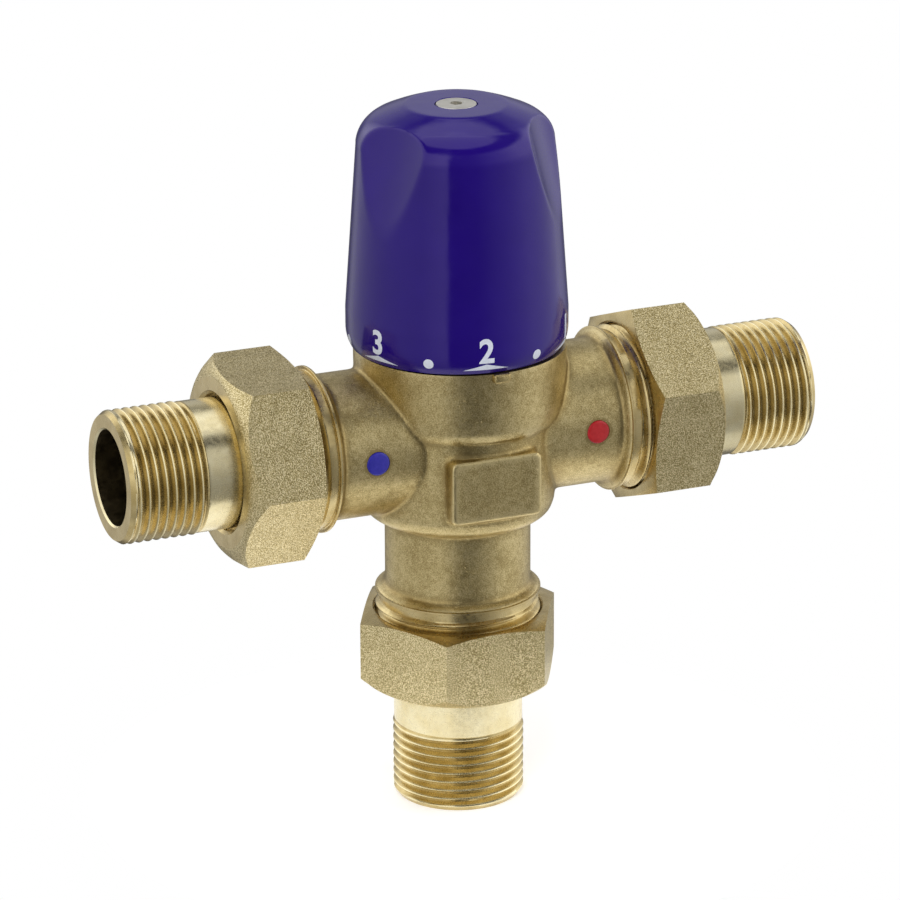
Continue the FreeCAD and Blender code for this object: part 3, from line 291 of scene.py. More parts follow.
def turn_up(bm, outline, steps, around="Z", shift=(0, 0, 0), closed=False):
    """Turns an outline of (radius, height) pairs about +Z, then lays that axis where it is asked for."""
    before = set(bm.verts)
    corners = [bm.verts.new((radius, 0, rise)) for radius, rise in outline]
    following = corners[1:] + (corners[:1] if closed else [])
    edges = [bm.edges.new(pair) for pair in zip(corners, following)]
    bmesh.ops.spin(bm, geom=corners + edges, cent=(0, 0, 0), axis=(0, 0, 1), angle=2 * math.pi, steps=steps,
                   use_merge=True)
    lay(bm, [v for v in bm.verts if v not in before], around, shift)


def tidy(bm, gap=1e-6):
    """Merges doubled points, drops empty faces and turns the rest outwards."""
    bmesh.ops.remove_doubles(bm, verts=bm.verts, dist=gap)
    bmesh.ops.dissolve_degenerate(bm, edges=bm.edges, dist=gap / 10)
    bmesh.ops.recalc_face_normals(bm, faces=bm.faces)


def sawn(bm, spot, outwards, drop=True, fill=False):
    """Cuts a mesh at a plane; may drop what lies outwards of it, and may close the cut."""
    cut = bmesh.ops.bisect_plane(bm, geom=bm.verts[:] + bm.edges[:] + bm.faces[:], dist=1e-7, plane_co=spot,
                                 plane_no=outwards, clear_outer=drop)["geom_cut"]
    if fill:
        rims = [e for e in cut if isinstance(e, bmesh.types.BMEdge) and e.is_boundary]
        bmesh.ops.edgeloop_fill(bm, edges=rims)


def keep_piece(bm, name, looks, body, stands_for=(), smooth_angle=None):
    """Writes a finished mesh as one object that rides on a body and takes the materials it is given."""
    mesh = bpy.data.meshes.new(name)
    bm.to_mesh(mesh)
    bm.free()
    for look in looks:
        mesh.materials.append(look)
    mesh.polygons.foreach_set("use_smooth", [True] * len(mesh.polygons))
    if smooth_angle:
        mesh.set_sharp_from_angle(angle=math.radians(smooth_angle))
    piece = bpy.data.objects.new(name, mesh)
    scene.collection.objects.link(piece)
    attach(piece, body)
    if stands_for:
        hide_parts(*stands_for)
    return piece


def baked(piece, kind, **settings):
    """Puts one modifier on a piece and keeps its result as the piece's mesh."""
    modifier = piece.modifiers.new(kind.lower(), kind)
    for key, setting in settings.items():
        setattr(modifier, key, setting)
    bpy.context.view_layer.update()
    mesh = bpy.data.meshes.new_from_object(piece.evaluated_get(bpy.context.evaluated_depsgraph_get()))
    piece.modifiers.clear()
    old, piece.data = piece.data, mesh
    bpy.data.meshes.remove(old)


def block(bm, low, high):
    """Adds a box between two corners and returns its points."""
    made = bmesh.ops.create_cube(bm, size=1.0)["verts"]
    low, high = Vector(low), Vector(high)
    bmesh.ops.scale(bm, verts=made, vec=high - low)
    bmesh.ops.translate(bm, verts=made, vec=(low + high) / 2)
    return made


def new_look(name):
    """A new material with its node tree, its shader and its place on the object."""
    look = bpy.data.materials.new(name)
    look.use_nodes = True
    tree = look.node_tree
    return look, tree, tree.nodes["Principled BSDF"], tree.nodes.new("ShaderNodeTexCoord").outputs["Object"]


def new_effect(name, vectors, numbers, results):
    """An empty node group with its named sockets, for an effect that several materials place."""
    effect = bpy.data.node_groups.new(name, "ShaderNodeTree")
    for label in vectors:
        effect.interface.new_socket(label, in_out="INPUT", socket_type="NodeSocketVector")
    for label in numbers:
        effect.interface.new_socket(label, in_out="INPUT", socket_type="NodeSocketFloat")
    for label in results:
        effect.interface.new_socket(label, in_out="OUTPUT", socket_type="NodeSocketFloat")
    return effect, effect.nodes.new("NodeGroupInput").outputs, effect.nodes.new("NodeGroupOutput").inputs


def placed(tree, effect, place, values):
    """Puts an effect into a material, or into another effect, with values of its own."""
    node = tree.nodes.new("ShaderNodeGroup")
    node.node_tree = effect
    tree.links.new(place, node.inputs["Place"])
    for label, value in values.items():
        node.inputs[label].default_value = value
    return node


speckles, taken, given = new_effect("speckles", ("Place", "Cells"), ("Detail",), ("Mask",))
sized = speckles.nodes.new("ShaderNodeVectorMath")
sized.operation = "MULTIPLY"
noise = speckles.nodes.new("ShaderNodeTexNoise")
noise.inputs["Scale"].default_value = 1.0
link_up(speckles, [
    (taken["Place"], sized.inputs[0]), (taken["Cells"], sized.inputs[1]),
    (sized.outputs[0], noise.inputs["Vector"]), (taken["Detail"], noise.inputs["Detail"]),
    (noise.outputs["Fac"], given["Mask"]),
])


def speckle(tree, place, cell, detail):
    """Noise whose lumps are about one cell (in metres) wide."""
    return placed(tree, speckles, place, {"Cells": (1 / cell,) * 3, "Detail": detail}).outputs["Mask"]


def spread(tree, value, low, high, to_low=0.0, to_high=1.0):
    """Stretches a mask's range from low...high to to_low...to_high, held at its ends."""
    node = tree.nodes.new("ShaderNodeMapRange")
    for slot, number in zip(("From Min", "From Max", "To Min", "To Max"), (low, high, to_low, to_high)):
        node.inputs[slot].default_value = number
    tree.links.new(value, node.inputs["Value"])
    return node.outputs["Result"]


def shades(tree, mask, stops, target):
    """Colours a mask by (place, colour) stops and feeds it to a shader's input."""
    bar = ramp(tree, stops)
    link_up(tree, [(mask, bar.inputs[0]), (bar.outputs["Color"], target)])


def relief(tree, shader, *layers):
    """Bumps from (height mask, depth in metres) layers, stacked."""
    under = None
    for mask, depth in layers:
        bump = tree.nodes.new("ShaderNodeBump")
        bump.inputs["Distance"].default_value = depth
        tree.links.new(mask, bump.inputs["Height"])
        if under:
            tree.links.new(under, bump.inputs["Normal"])
        under = bump.outputs["Normal"]
    tree.links.new(under, shader.inputs["Normal"])


# blast marks and painted light: salt-and-pepper grain, mottle and patches in the colour, sparse pits, and
# painted light from the bend, lighter on ridges and darker in creases
blasting_and_painted_light, taken, given = new_effect("blasting_and_painted_light", ("Place",), ("Grain", "Mottle", "Patches", "Painted Bend Light"),
                                    ("Shade", "Grit", "Pits", "Swell", "Roughness"))
grit = speckle(blasting_and_painted_light, taken["Place"], GRAIN_CELL, 1)
# painted light: the bend attribute makes ridges lighter and creases darker in the colour
shade = math_node(blasting_and_painted_light, "MULTIPLY", taken["Painted Bend Light"], PAINTED_BEND_LIGHT_SHARE)
for share, mask in (("Grain", grit), ("Mottle", speckle(blasting_and_painted_light, taken["Place"], 1.2 * MM, 3)),
                    ("Patches", speckle(blasting_and_painted_light, taken["Place"], 5 * MM, 3))):
    shade = math_node(blasting_and_painted_light, "ADD", shade, math_node(blasting_and_painted_light, "MULTIPLY", mask, taken[share]))
link_up(blasting_and_painted_light, [
    (shade, given["Shade"]), (grit, given["Grit"]),
    (spread(blasting_and_painted_light, speckle(blasting_and_painted_light, taken["Place"], 0.8 * MM, 1), 0.22, 0.27), given["Pits"]),
    (speckle(blasting_and_painted_light, taken["Place"], 6 * MM, 2), given["Swell"]),
    (spread(blasting_and_painted_light, speckle(blasting_and_painted_light, taken["Place"], 1.1 * MM, 3), 0.3, 0.7, 0.32, 0.42),
     given["Roughness"]),
])


def blasted_brass(name, dark, mid, light, weights, grain, painted_light_named=None):
    """Shot-blasted brass: dull, grained and a bit patchy.

    weights are the shares of grain, mottle and patches in the colour; grain is the depth of the blast marks.
    A named bend attribute adds painted light to the colour: lighter on ridges, darker in creases.
    """
    look, tree, shader, place = new_look(name)
    shader.inputs["Metallic"].default_value = 1.0
    marks = placed(tree, blasting_and_painted_light, place, dict(zip(("Grain", "Mottle", "Patches"), weights)))
    # painted light from the named bend attribute: ridges lighter, creases darker
    if painted_light_named:
        painted_light_node = tree.nodes.new("ShaderNodeAttribute")
        painted_light_node.attribute_name = painted_light_named
        tree.links.new(painted_light_node.outputs["Fac"], marks.inputs["Painted Bend Light"])
    shades(tree, marks.outputs["Shade"], [(0.40, dark), (0.50, mid), (0.60, light)],
           shader.inputs["Base Color"])
    tree.links.new(marks.outputs["Roughness"], shader.inputs["Roughness"])
    relief(tree, shader, (marks.outputs["Grit"], grain), (marks.outputs["Pits"], 0.04 * MM),
           (marks.outputs["Swell"], 0.2 * MM))
    return look


# lathe marks: fine rings about the axis the piece was turned on, faint stains, and an uneven polish
lathe_marks, taken, given = new_effect("lathe_marks", ("Place", "Ring Cells"), ("Roughness",),
                                       ("Rings", "Stain", "Haze", "Roughness"))
rings = placed(lathe_marks, speckles, taken["Place"], {"Detail": 3})
polish = spread(lathe_marks, speckle(lathe_marks, taken["Place"], 0.9 * MM, 3), 0.25, 0.75, 0.75, 1.35)
link_up(lathe_marks, [
    (taken["Ring Cells"], rings.inputs["Cells"]), (rings.outputs["Mask"], given["Rings"]),
    (speckle(lathe_marks, taken["Place"], 4.0 * MM, 4), given["Stain"]),
    (speckle(lathe_marks, taken["Place"], 0.25 * MM, 2), given["Haze"]),
    (math_node(lathe_marks, "MULTIPLY", polish, taken["Roughness"]), given["Roughness"]),
])
RING_ACROSS = 0.16 * MM                         # width of a ring along the axis the piece was turned on
RING_AROUND = 40.0 * MM                         # its length, drawn out along the other two


def turned_metal(name, colour, shadow, rough, axis, mark=0.004 * MM):
    """Metal fresh from the lathe: bright, with fine rings about the axis it was turned on."""
    look, tree, shader, place = new_look(name)
    shader.inputs["Metallic"].default_value = 1.0
    cells = tuple(1 / (RING_ACROSS if letter in axis else RING_AROUND) for letter in "XYZ")
    marks = placed(tree, lathe_marks, place, {"Ring Cells": cells, "Roughness": rough})
    shades(tree, marks.outputs["Stain"], [(0.32, shadow), (0.62, colour)], shader.inputs["Base Color"])
    tree.links.new(marks.outputs["Roughness"], shader.inputs["Roughness"])
    relief(tree, shader, (marks.outputs["Rings"], mark), (marks.outputs["Haze"], mark * 0.6))
    return look


# the forging's brass is painted lighter on its ridges and darker in its creases, from its bend attribute
forged_brass = blasted_brass("forged_brass", (0.38, 0.285, 0.12), (0.52, 0.415, 0.19), (0.68, 0.56, 0.29),
                             (0.55, 0.25, 0.20), 0.04 * MM, "bend_painted_light")


def turned_brass(name, colour, shadow, rough):
    """One lathe finish for pieces turned about X and about Z."""
    return {axis: turned_metal(f"{name}_{axis.lower()}", colour, shadow, rough, axis) for axis in "XZ"}


faced_brass = turned_brass("faced_brass", (0.68, 0.55, 0.28), (0.54, 0.42, 0.19), 0.28)
tail_brass = turned_brass("tail_brass", (0.85, 0.76, 0.49), (0.77, 0.66, 0.38), 0.24)
# thread flanks: the same turned brass painted darker, as painted shade in the grooves, so the crests read as
# bright lines
flank_painted_shade_brass = turned_brass("flank_painted_shade_brass", (0.66, 0.53, 0.26), (0.52, 0.40, 0.17), 0.26)
# the tail's bore: the same brass painted dark, as painted shade inside the drilled hole
bore_painted_shade_brass = turned_metal("bore_painted_shade_brass", (0.20, 0.155, 0.08), (0.10, 0.08, 0.045), 0.40, "X")

body_bm = bmesh.new()
turn_up(body_bm, [
    (0, OUTLET_COLLAR - EXTRA), (COLLAR_RADIUS, OUTLET_COLLAR - EXTRA), (COLLAR_RADIUS, OUTLET_COLLAR),
    (NECK_RADIUS, OUTLET_COLLAR + FLARE), (NECK_RADIUS, BARREL_FOOT), (15.8 * MM, BARREL_FOOT),
    (17.4 * MM, BARREL_FOOT + 0.55 * MM), (18.7 * MM, BARREL_FOOT + 1.6 * MM),
    (BARREL_RADIUS, BARREL_FOOT + 3.6 * MM), (BARREL_RADIUS, LEDGE), (0, LEDGE),
], 128)
turn_up(body_bm, [
    (0, LEDGE - 1.8 * MM), (18.4 * MM, LEDGE - 1.2 * MM), (20.0 * MM, LEDGE + 0.3 * MM),
    (20.6 * MM, LEDGE + 1.8 * MM), (20.9 * MM, LEDGE + 4.0 * MM), (BOWL_RADIUS, BODY_TOP - 1.2 * MM),
    (BOWL_RADIUS, BODY_LIP + EXTRA), (0, BODY_LIP + EXTRA),
], 128, shift=(BOWL_SHIFT, 0, 0))
for way in ("X", "-X"):
    turn_up(body_bm, [
        (0, 0), (NECK_RADIUS, 0), (NECK_RADIUS, PORT_START - FLARE), (COLLAR_RADIUS, PORT_START),
        (COLLAR_RADIUS, PORT_START + EXTRA), (0, PORT_START + EXTRA),
    ], 128, way, (0, 0, INLET_AXIS))
plate = block(body_bm, (-PLATE_HALF[0], PLATE_FRONT, PLATE_CENTRE - PLATE_HALF[1]),
              (PLATE_HALF[0], PLATE_BACK, PLATE_CENTRE + PLATE_HALF[1]))
plate_edges = {e for v in plate for e in v.link_edges}
corners = [e for e in plate_edges if abs(e.verts[0].co.y - e.verts[1].co.y) > 1 * MM]
bmesh.ops.bevel(body_bm, geom=corners, offset=PLATE_CORNER, segments=5, profile=0.5, affect="EDGES",
                material=-1)
tidy(body_bm)
forged = keep_piece(body_bm, "forged_body", [forged_brass], "valve_body", ["body_casting"])
baked(forged, "REMESH", mode="VOXEL", voxel_size=FORGING_CELL)

# bores: outlet way, spool bore with a ring channel below and the head's bore above, check valves' chambers
WATER_BORE = 8.7 * MM
CHAMBER_BORE = 10.4 * MM
SPOOL_BORE = 12.0 * MM
SPOOL_MOUTH = 12.4 * MM
CHANNEL_RADIUS = 15.2 * MM
HEAD_BORE = 15.7 * MM
FACED_RADIUS = 19.6 * MM
BORES = [
    (0, OUTLET_COLLAR - 2 * EXTRA), (WATER_BORE, OUTLET_COLLAR - 2 * EXTRA),
    (WATER_BORE, INLET_AXIS - 26.7 * MM), (CHAMBER_BORE, INLET_AXIS - 26.7 * MM),
    (CHAMBER_BORE, INLET_AXIS - 10.0 * MM), (SPOOL_MOUTH, INLET_AXIS - 10.0 * MM),
    (SPOOL_MOUTH, INLET_AXIS - 8.0 * MM), (CHANNEL_RADIUS, INLET_AXIS - 8.0 * MM),
    (CHANNEL_RADIUS, INLET_AXIS - 3.0 * MM), (SPOOL_BORE, INLET_AXIS - 3.0 * MM),
    (SPOOL_BORE, INLET_AXIS + 3.0 * MM), (HEAD_BORE, INLET_AXIS + 3.0 * MM), (HEAD_BORE, BODY_TOP),
    (FACED_RADIUS, BODY_TOP), (FACED_RADIUS, BODY_TOP + 3 * EXTRA), (0, BODY_TOP + 3 * EXTRA),
]
bm = bmesh.new()
bm.from_mesh(forged.data)
for soft_pass in range(SOFTENINGS):
    soft = bm.verts[:] if soft_pass < PLATE_SOFTENINGS else [v for v in bm.verts if v.co.y > SOFT_BEHIND]
    bmesh.ops.smooth_vert(bm, verts=soft, factor=0.5, use_axis_x=True, use_axis_y=True, use_axis_z=True)
for spot, outwards in (((0, 0, BODY_LIP), (0, 0, 1)), ((0, 0, OUTLET_COLLAR), (0, 0, -1)),
                       ((PORT_START, 0, 0), (1, 0, 0)), ((-PORT_START, 0, 0), (-1, 0, 0))):
    sawn(bm, spot, outwards, fill=True)
bmesh.ops.recalc_face_normals(bm, faces=bm.faces)
bm.to_mesh(forged.data)
bm.free()


def drilled(piece, bm):
    """Takes a closed cutter away from a piece."""
    tidy(bm)
    mesh = bpy.data.meshes.new("cutter")
    bm.to_mesh(mesh)
    bm.free()
    cutter = bpy.data.objects.new("cutter", mesh)
    scene.collection.objects.link(cutter)
    baked(piece, "BOOLEAN", operation="DIFFERENCE", solver="MANIFOLD", object=cutter)
    bpy.data.objects.remove(cutter)
    bpy.data.meshes.remove(mesh)


cutter = bmesh.new()
turn_up(cutter, BORES, 96)
drilled(forged, cutter)
for way in ("X", "-X"):
    cutter = bmesh.new()
    turn_up(cutter, [(0, 13.5 * MM), (5.0 * MM, 13.5 * MM), (8.5 * MM, 17.2 * MM), (8.5 * MM, 25.8 * MM),
                     (CHAMBER_BORE, 25.8 * MM), (CHAMBER_BORE, PORT_START + EXTRA),
                     (0, PORT_START + EXTRA)], 96, way, (0, 0, INLET_AXIS))
    drilled(forged, cutter)
PLUG_HOLE = 2.42 * MM
for node in ("cold_marker", "hot_marker"):
    low, high = (Vector(corner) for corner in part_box(node))
    middle = (low + high) / 2
    cutter = bmesh.new()
    turn_up(cutter, [(0, 0), (PLUG_HOLE, 0), (PLUG_HOLE, 4 * MM), (0, 4 * MM)], 64, "-Y",
            (middle.x, high.y, middle.z))
    drilled(forged, cutter)

# painted light: how proud or concave each spot of the forging is, from the bend of the surface around it; it
# paints ridges lighter and creases darker
mesh = forged.data
count = len(mesh.vertices)
spots = np.empty(count * 3)
mesh.vertices.foreach_get("co", spots)
spots = spots.reshape(count, 3)
normals = np.empty(count * 3)
mesh.vertices.foreach_get("normal", normals)
normals = normals.reshape(count, 3)
ends = np.empty(len(mesh.edges) * 2, dtype=np.int64)
mesh.edges.foreach_get("vertices", ends)
ends = ends.reshape(-1, 2)
degree = np.maximum(np.bincount(ends.ravel(), minlength=count), 1)


def averaged(numbers):
    """Each point's mean over the points it shares an edge with."""
    total = np.zeros_like(numbers)
    np.add.at(total, ends[:, 0], numbers[ends[:, 1]])
    np.add.at(total, ends[:, 1], numbers[ends[:, 0]])
    return total / degree.reshape((-1,) + (1,) * (numbers.ndim - 1))


bend = ((averaged(spots) - spots) * normals).sum(axis=1)
for _ in range(BEND_BLURS):
    bend = averaged(bend)
proud = np.clip(-bend / BEND_FULL, -1, 1)
bend_painted_light = mesh.attributes.new("bend_painted_light", "FLOAT", "POINT")
bend_painted_light.data.foreach_set("value", proud.astype(np.float32))
mesh.polygons.foreach_set("use_smooth", [True] * len(mesh.polygons))
mesh.set_sharp_from_angle(angle=math.radians(42))

pointer_bm = bmesh.new()
block(pointer_bm, (-1.35 * MM, -22.2 * MM, BODY_TOP - 0.6 * MM),
      (2.25 * MM, -19.7 * MM, BODY_TOP + 1.38 * MM))
bmesh.ops.bevel(pointer_bm, geom=pointer_bm.edges[:], offset=0.6 * MM, segments=3, profile=0.5,
                affect="EDGES", clamp_overlap=True, material=-1)
tidy(pointer_bm)
keep_piece(pointer_bm, "pointer", [forged_brass], "valve_body", ["body_casting"], 50)

# ------------------------------------------------------------------ threads
# Pipe threads are cut on a lathe: one groove of the standard's pitch wound around the piece, with crests
# left narrow and bright, running out into the shank and chamfered at the open end.
THREAD_POINTS = 10
THREAD_STEPS = 80
FLANK_STEEPNESS = 1.35                          # above 1 it leaves a narrow flat at the crest and the root


def threaded(bm, crest, pitch, depth, low, high, fade_to, fade, chamfer):
    """A right-hand thread surface along +Z from low to high, open at both ends; returns its two rims.

    It runs out to the radius fade_to over the length fade at its low end, and is chamfered at its high end.
    """
    turns = math.ceil((high - low) / pitch) + 2
    corners = []
    for point in range(THREAD_POINTS + 1):
        share = point / THREAD_POINTS
        rise = min(max(0.5 + (abs(2 * share - 1) - 0.5) * FLANK_STEEPNESS, 0.0), 1.0)
        corners.append(bm.verts.new((crest - depth * (1 - rise), 0, low + (share - 1) * pitch)))
    edges = [bm.edges.new(pair) for pair in zip(corners, corners[1:])]
    bmesh.ops.spin(bm, geom=corners + edges, cent=(0, 0, 0), axis=(0, 0, 1),
                   dvec=(0, 0, pitch / THREAD_STEPS), angle=2 * math.pi * turns, steps=THREAD_STEPS * turns)
    bmesh.ops.remove_doubles(bm, verts=bm.verts, dist=0.02 * MM)
    for stop, outwards in ((low, -1), (high, 1)):
        sawn(bm, (0, 0, stop), (0, 0, outwards))
    bmesh.ops.remove_doubles(bm, verts=bm.verts, dist=0.01 * MM)
    for vert in bm.verts:
        radius = math.hypot(vert.co.x, vert.co.y)
        share = min(max((vert.co.z - low) / fade, 0.0), 1.0)
        share = share * share * (3 - 2 * share)
        wanted = fade_to + (radius - fade_to) * share
        lead = min(max((high - vert.co.z - chamfer) / chamfer, 0.0), 1.0)
        wanted = crest + (wanted - crest) * lead
        wanted = min(wanted, crest - 0.8 * chamfer + 0.7 * max(high - vert.co.z, 0.0))
        vert.co.x *= wanted / radius
        vert.co.y *= wanted / radius
    rims = []
    for stop in (low, high):
        rims.append([e for e in bm.edges if e.is_boundary
                     and all(abs(v.co.z - stop) < 0.01 * MM for v in e.verts)])
    return rims


def follow(bm, rim, outline):
    """Carries an open rim on through (radius, height) rings and returns the last rim."""
    for radius, height in outline:
        made = bmesh.ops.extrude_edge_only(bm, edges=rim)["geom"]
        rim = [e for e in made if isinstance(e, bmesh.types.BMEdge) and e.is_boundary]
        for vert in {v for e in rim for v in e.verts}:
            reach = math.hypot(vert.co.x, vert.co.y)
            vert.co = (vert.co.x * radius / reach, vert.co.y * radius / reach, height)
    return rim


PORT_PITCH = 25.4 / 11 * MM                     # 11 and 14 threads to the inch, as G1 and G3/4 have
PORT_DEPTH = 1.479 * MM
TAIL_RADIUS = 13.22 * MM
TAIL_PITCH = 25.4 / 14 * MM
TAIL_DEPTH = 1.162 * MM
SHANK_RADIUS = 13.0 * MM
TAIL_BORE = 9.5 * MM
UNIONS = {  # where each union points, the middle of its port's face, and its nut's corner from the front
    "cold": ("-X", (-FACE_OUT, 0, INLET_AXIS), math.radians(54.1)),
    "hot": ("X", (FACE_OUT, 0, INLET_AXIS), math.radians(20.9)),
    "outlet": ("-Z", (0, 0, OUTLET_FACE), math.radians(-28.8)),
}

# ------------------------------------------------------------------ ports
# The body's three threaded ports, turned in the forging after blasting: thin collar, relief groove, G1
# thread and a chamfered face. They are the body's own metal, left bright by the tool.
PORT_GROOVE = PORT_RADIUS - 0.75 * MM
COLLAR_WIDTH = 0.5 * MM
PORT_ROOT = -PORT_LENGTH - 0.4 * MM             # how far the piece reaches into the forging's own metal
for name, (way, face, _) in UNIONS.items():
    bm = bmesh.new()
    groove = -PORT_LENGTH + COLLAR_WIDTH
    bore = WATER_BORE if name == "outlet" else CHAMBER_BORE
    foot, mouth = threaded(bm, PORT_RADIUS, PORT_PITCH, PORT_DEPTH, groove + 1.6 * MM, 0.0, PORT_GROOVE,
                           0.7 * MM, 0.6 * MM)
    inner = follow(bm, mouth, [
        (15.0 * MM, 0), (bore + 0.3 * MM, 0), (bore, -0.3 * MM), (bore, PORT_ROOT)])
    outer = follow(bm, foot, [
        (PORT_GROOVE, groove + 0.1 * MM), (PORT_RADIUS - 0.65 * MM, groove),
        (PORT_RADIUS - 0.08 * MM, groove), (PORT_RADIUS, groove - 0.08 * MM),
        (PORT_RADIUS, -PORT_LENGTH + 0.05 * MM), (PORT_RADIUS - 0.1 * MM, -PORT_LENGTH),
        (14.0 * MM, PORT_ROOT)])
    bmesh.ops.bridge_loops(bm, edges=inner + outer)
    lay(bm, bm.verts[:], way, face)
    tidy(bm, 1e-7)
    keep_piece(bm, f"{name}_port", [faced_brass[way[-1]]], "valve_body", ["body_casting"], 32)

# ------------------------------------------------------------------ tails
# Brass tailpieces turned from bar: flange that the nut pulls on, plain polished shank, G3/4 male thread and
# plain bore. The thread's flanks are a little duller than its crests and painted darker, as painted shade in
# the grooves; the drilled bore is dull and painted dark, as painted shade inside it.
GASKET_THICK = 2.0 * MM
FLANGE_THICK = 3.4 * MM
FLANGE_RADIUS = 15.4 * MM
FLANGE_EDGE = 0.2 * MM
TAIL_THREAD = 16.0 * MM
CREST_BAND = 0.16 * MM                          # metal this close under the crests counts as crest
for name, (way, face, _) in UNIONS.items():
    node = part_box(f"{name}_tail")
    along = 2 if name == "outlet" else 0
    start = GASKET_THICK
    end = start + (node[1][along] - node[0][along])
    flange = start + FLANGE_THICK
    bm = bmesh.new()
    foot, mouth = threaded(bm, TAIL_RADIUS, TAIL_PITCH, TAIL_DEPTH, end - TAIL_THREAD, end, SHANK_RADIUS,
                           1.1 * MM, 1.0 * MM)
    inner = follow(bm, mouth, [
        (12.0 * MM, end), (TAIL_BORE + 0.35 * MM, end), (TAIL_BORE, end - 0.35 * MM),
        (TAIL_BORE, (start + end) / 2), (TAIL_BORE, start)])
    outer = follow(bm, foot, [
        (SHANK_RADIUS, end - TAIL_THREAD - 0.4 * MM), (SHANK_RADIUS, flange + FLANGE_EDGE),
        (SHANK_RADIUS + FLANGE_EDGE, flange), (FLANGE_RADIUS - FLANGE_EDGE, flange),
        (FLANGE_RADIUS, flange - FLANGE_EDGE), (FLANGE_RADIUS, start + FLANGE_EDGE),
        (FLANGE_RADIUS - FLANGE_EDGE, start)])
    bmesh.ops.bridge_loops(bm, edges=inner + outer)
    # the thread's flanks take the darker brass as painted shade in the grooves, the bore a dark brass as
    # painted shade inside it
    for side in bm.faces:
        middle = side.calc_center_median()
        radius = math.hypot(middle.x, middle.y)
        if middle.z > end - TAIL_THREAD and TAIL_BORE + 1.0 * MM < radius < TAIL_RADIUS - CREST_BAND:
            side.material_index = 1
        elif radius < TAIL_BORE + 0.1 * MM:
            side.material_index = 2
    lay(bm, bm.verts[:], way, face)
    tidy(bm, 1e-7)
    keep_piece(bm, f"{name}_tail_turned", [tail_brass[way[-1]], flank_painted_shade_brass[way[-1]], bore_painted_shade_brass],
               f"{name}_tailpiece", [f"{name}_tail"], 32)

# ------------------------------------------------------------------ union nuts
# Forged brass hexagons, blasted like the body, then bored and faced from the mouth: the facing tool leaves a
# bright cone there, which meets the flats in arcs. The back keeps its forged round.
NUT_FLATS = 37.0 * MM
NUT_LENGTH = 15.6 * MM
NUT_LIP = 2.6 * MM                              # the part that bears on the tail's flange
NUT_START = GASKET_THICK + FLANGE_THICK + NUT_LIP - NUT_LENGTH
NUT_CORNER = NUT_FLATS / 2 / math.cos(math.radians(30))
NUT_BORE = PORT_RADIUS + 0.15 * MM
NUT_HOLE = 13.67 * MM
NUT_BLANK = NUT_CORNER + 0.4 * MM
FACING_SLOPE = 0.34
MOUTH_RADIUS = NUT_FLATS / 2 - 0.25 * MM
nut_brass = blasted_brass("nut_brass", (0.35, 0.275, 0.115), (0.60, 0.49, 0.24), (0.90, 0.78, 0.48),
                          (0.85, 0.05, 0.10), 0.085 * MM)
for name, (way, face, corner) in UNIONS.items():
    bm = bmesh.new()
    turn_up(bm, [
        (NUT_BORE + 0.4 * MM, 0), (MOUTH_RADIUS, 0), (NUT_BLANK, (NUT_BLANK - MOUTH_RADIUS) * FACING_SLOPE),
        (NUT_BLANK, NUT_LENGTH - 3.2 * MM), (NUT_CORNER, NUT_LENGTH - 2.9 * MM),
        (20.4 * MM, NUT_LENGTH - 2.1 * MM), (19.5 * MM, NUT_LENGTH - 1.25 * MM),
        (18.5 * MM, NUT_LENGTH - 0.6 * MM), (17.7 * MM, NUT_LENGTH - 0.15 * MM), (17.0 * MM, NUT_LENGTH),
        (14.3 * MM, NUT_LENGTH), (NUT_HOLE, NUT_LENGTH - 0.6 * MM), (NUT_HOLE, NUT_LENGTH - NUT_LIP),
        (NUT_BORE, NUT_LENGTH - NUT_LIP), (NUT_BORE, 0.4 * MM),
    ], 144, closed=True)
    tidy(bm)
    side = {"-X": -1, "X": 1, "-Z": 0}[way]
    first = math.pi / 2 - corner if side == 0 else -corner * side - math.pi / 2
    for flat in range(6):
        turn = first + math.radians(30 + 60 * flat)
        outwards = Vector((math.cos(turn), math.sin(turn), 0))
        sawn(bm, outwards * NUT_FLATS / 2, outwards, fill=True)
    bmesh.ops.remove_doubles(bm, verts=bm.verts, dist=0.01 * MM)
    bmesh.ops.recalc_face_normals(bm, faces=bm.faces)
    for face_made in bm.faces:
        middle = face_made.calc_center_median()
        radius = math.hypot(middle.x, middle.y)
        in_bore = radius < NUT_BORE + 0.2 * MM
        at_hole = radius < 16 * MM and middle.z > NUT_LENGTH - 0.7 * MM
        if face_made.normal.z < -0.5 or in_bore or at_hole:
            face_made.material_index = 1
    bmesh.ops.translate(bm, verts=bm.verts, vec=(0, 0, NUT_START))
    lay(bm, bm.verts[:], way, face)
    nut = keep_piece(bm, f"{name}_nut_forged", [nut_brass, faced_brass[way[-1]]], f"{name}_union_nut",
                     [f"{name}_nut"])
    baked(nut, "BEVEL", width=0.5 * MM, segments=3, limit_method="ANGLE", angle_limit=math.radians(24),
          harden_normals=True, use_clamp_overlap=True, material=-1)

# ------------------------------------------------------------------ dial
# One moulding in glossy blue plastic: band with its skirt turned under, long tapered side with three finger
# grips, round shoulder, low dome, and a flat top with a shallow well for the screw. White print at its foot.
DIAL_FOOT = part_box("control_knob")[0][2] - 0.65 * MM  # the skirt hangs close over the body's lip
DIAL_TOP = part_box("control_knob")[1][2]
SPINDLE_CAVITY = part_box("spindle")[1][2] + 0.2 * MM
CLIP_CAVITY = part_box("spindle_clip")[1][2] + 2.4 * MM
BAND_RADIUS = 22.02 * MM
BAND_TOP = DIAL_FOOT + 4.2 * MM
SKIRT_TUCK = 1.15 * MM
SKIRT_CURVE = 2.4
SIDE_RADIUS = 22.07 * MM                        # the tapered side's radius at SIDE_FOOT
SIDE_FOOT = 102.55 * MM
SIDE_TOP = 136.38 * MM
SIDE_SLOPE = 0.0703
SIDE_ROWS = 64
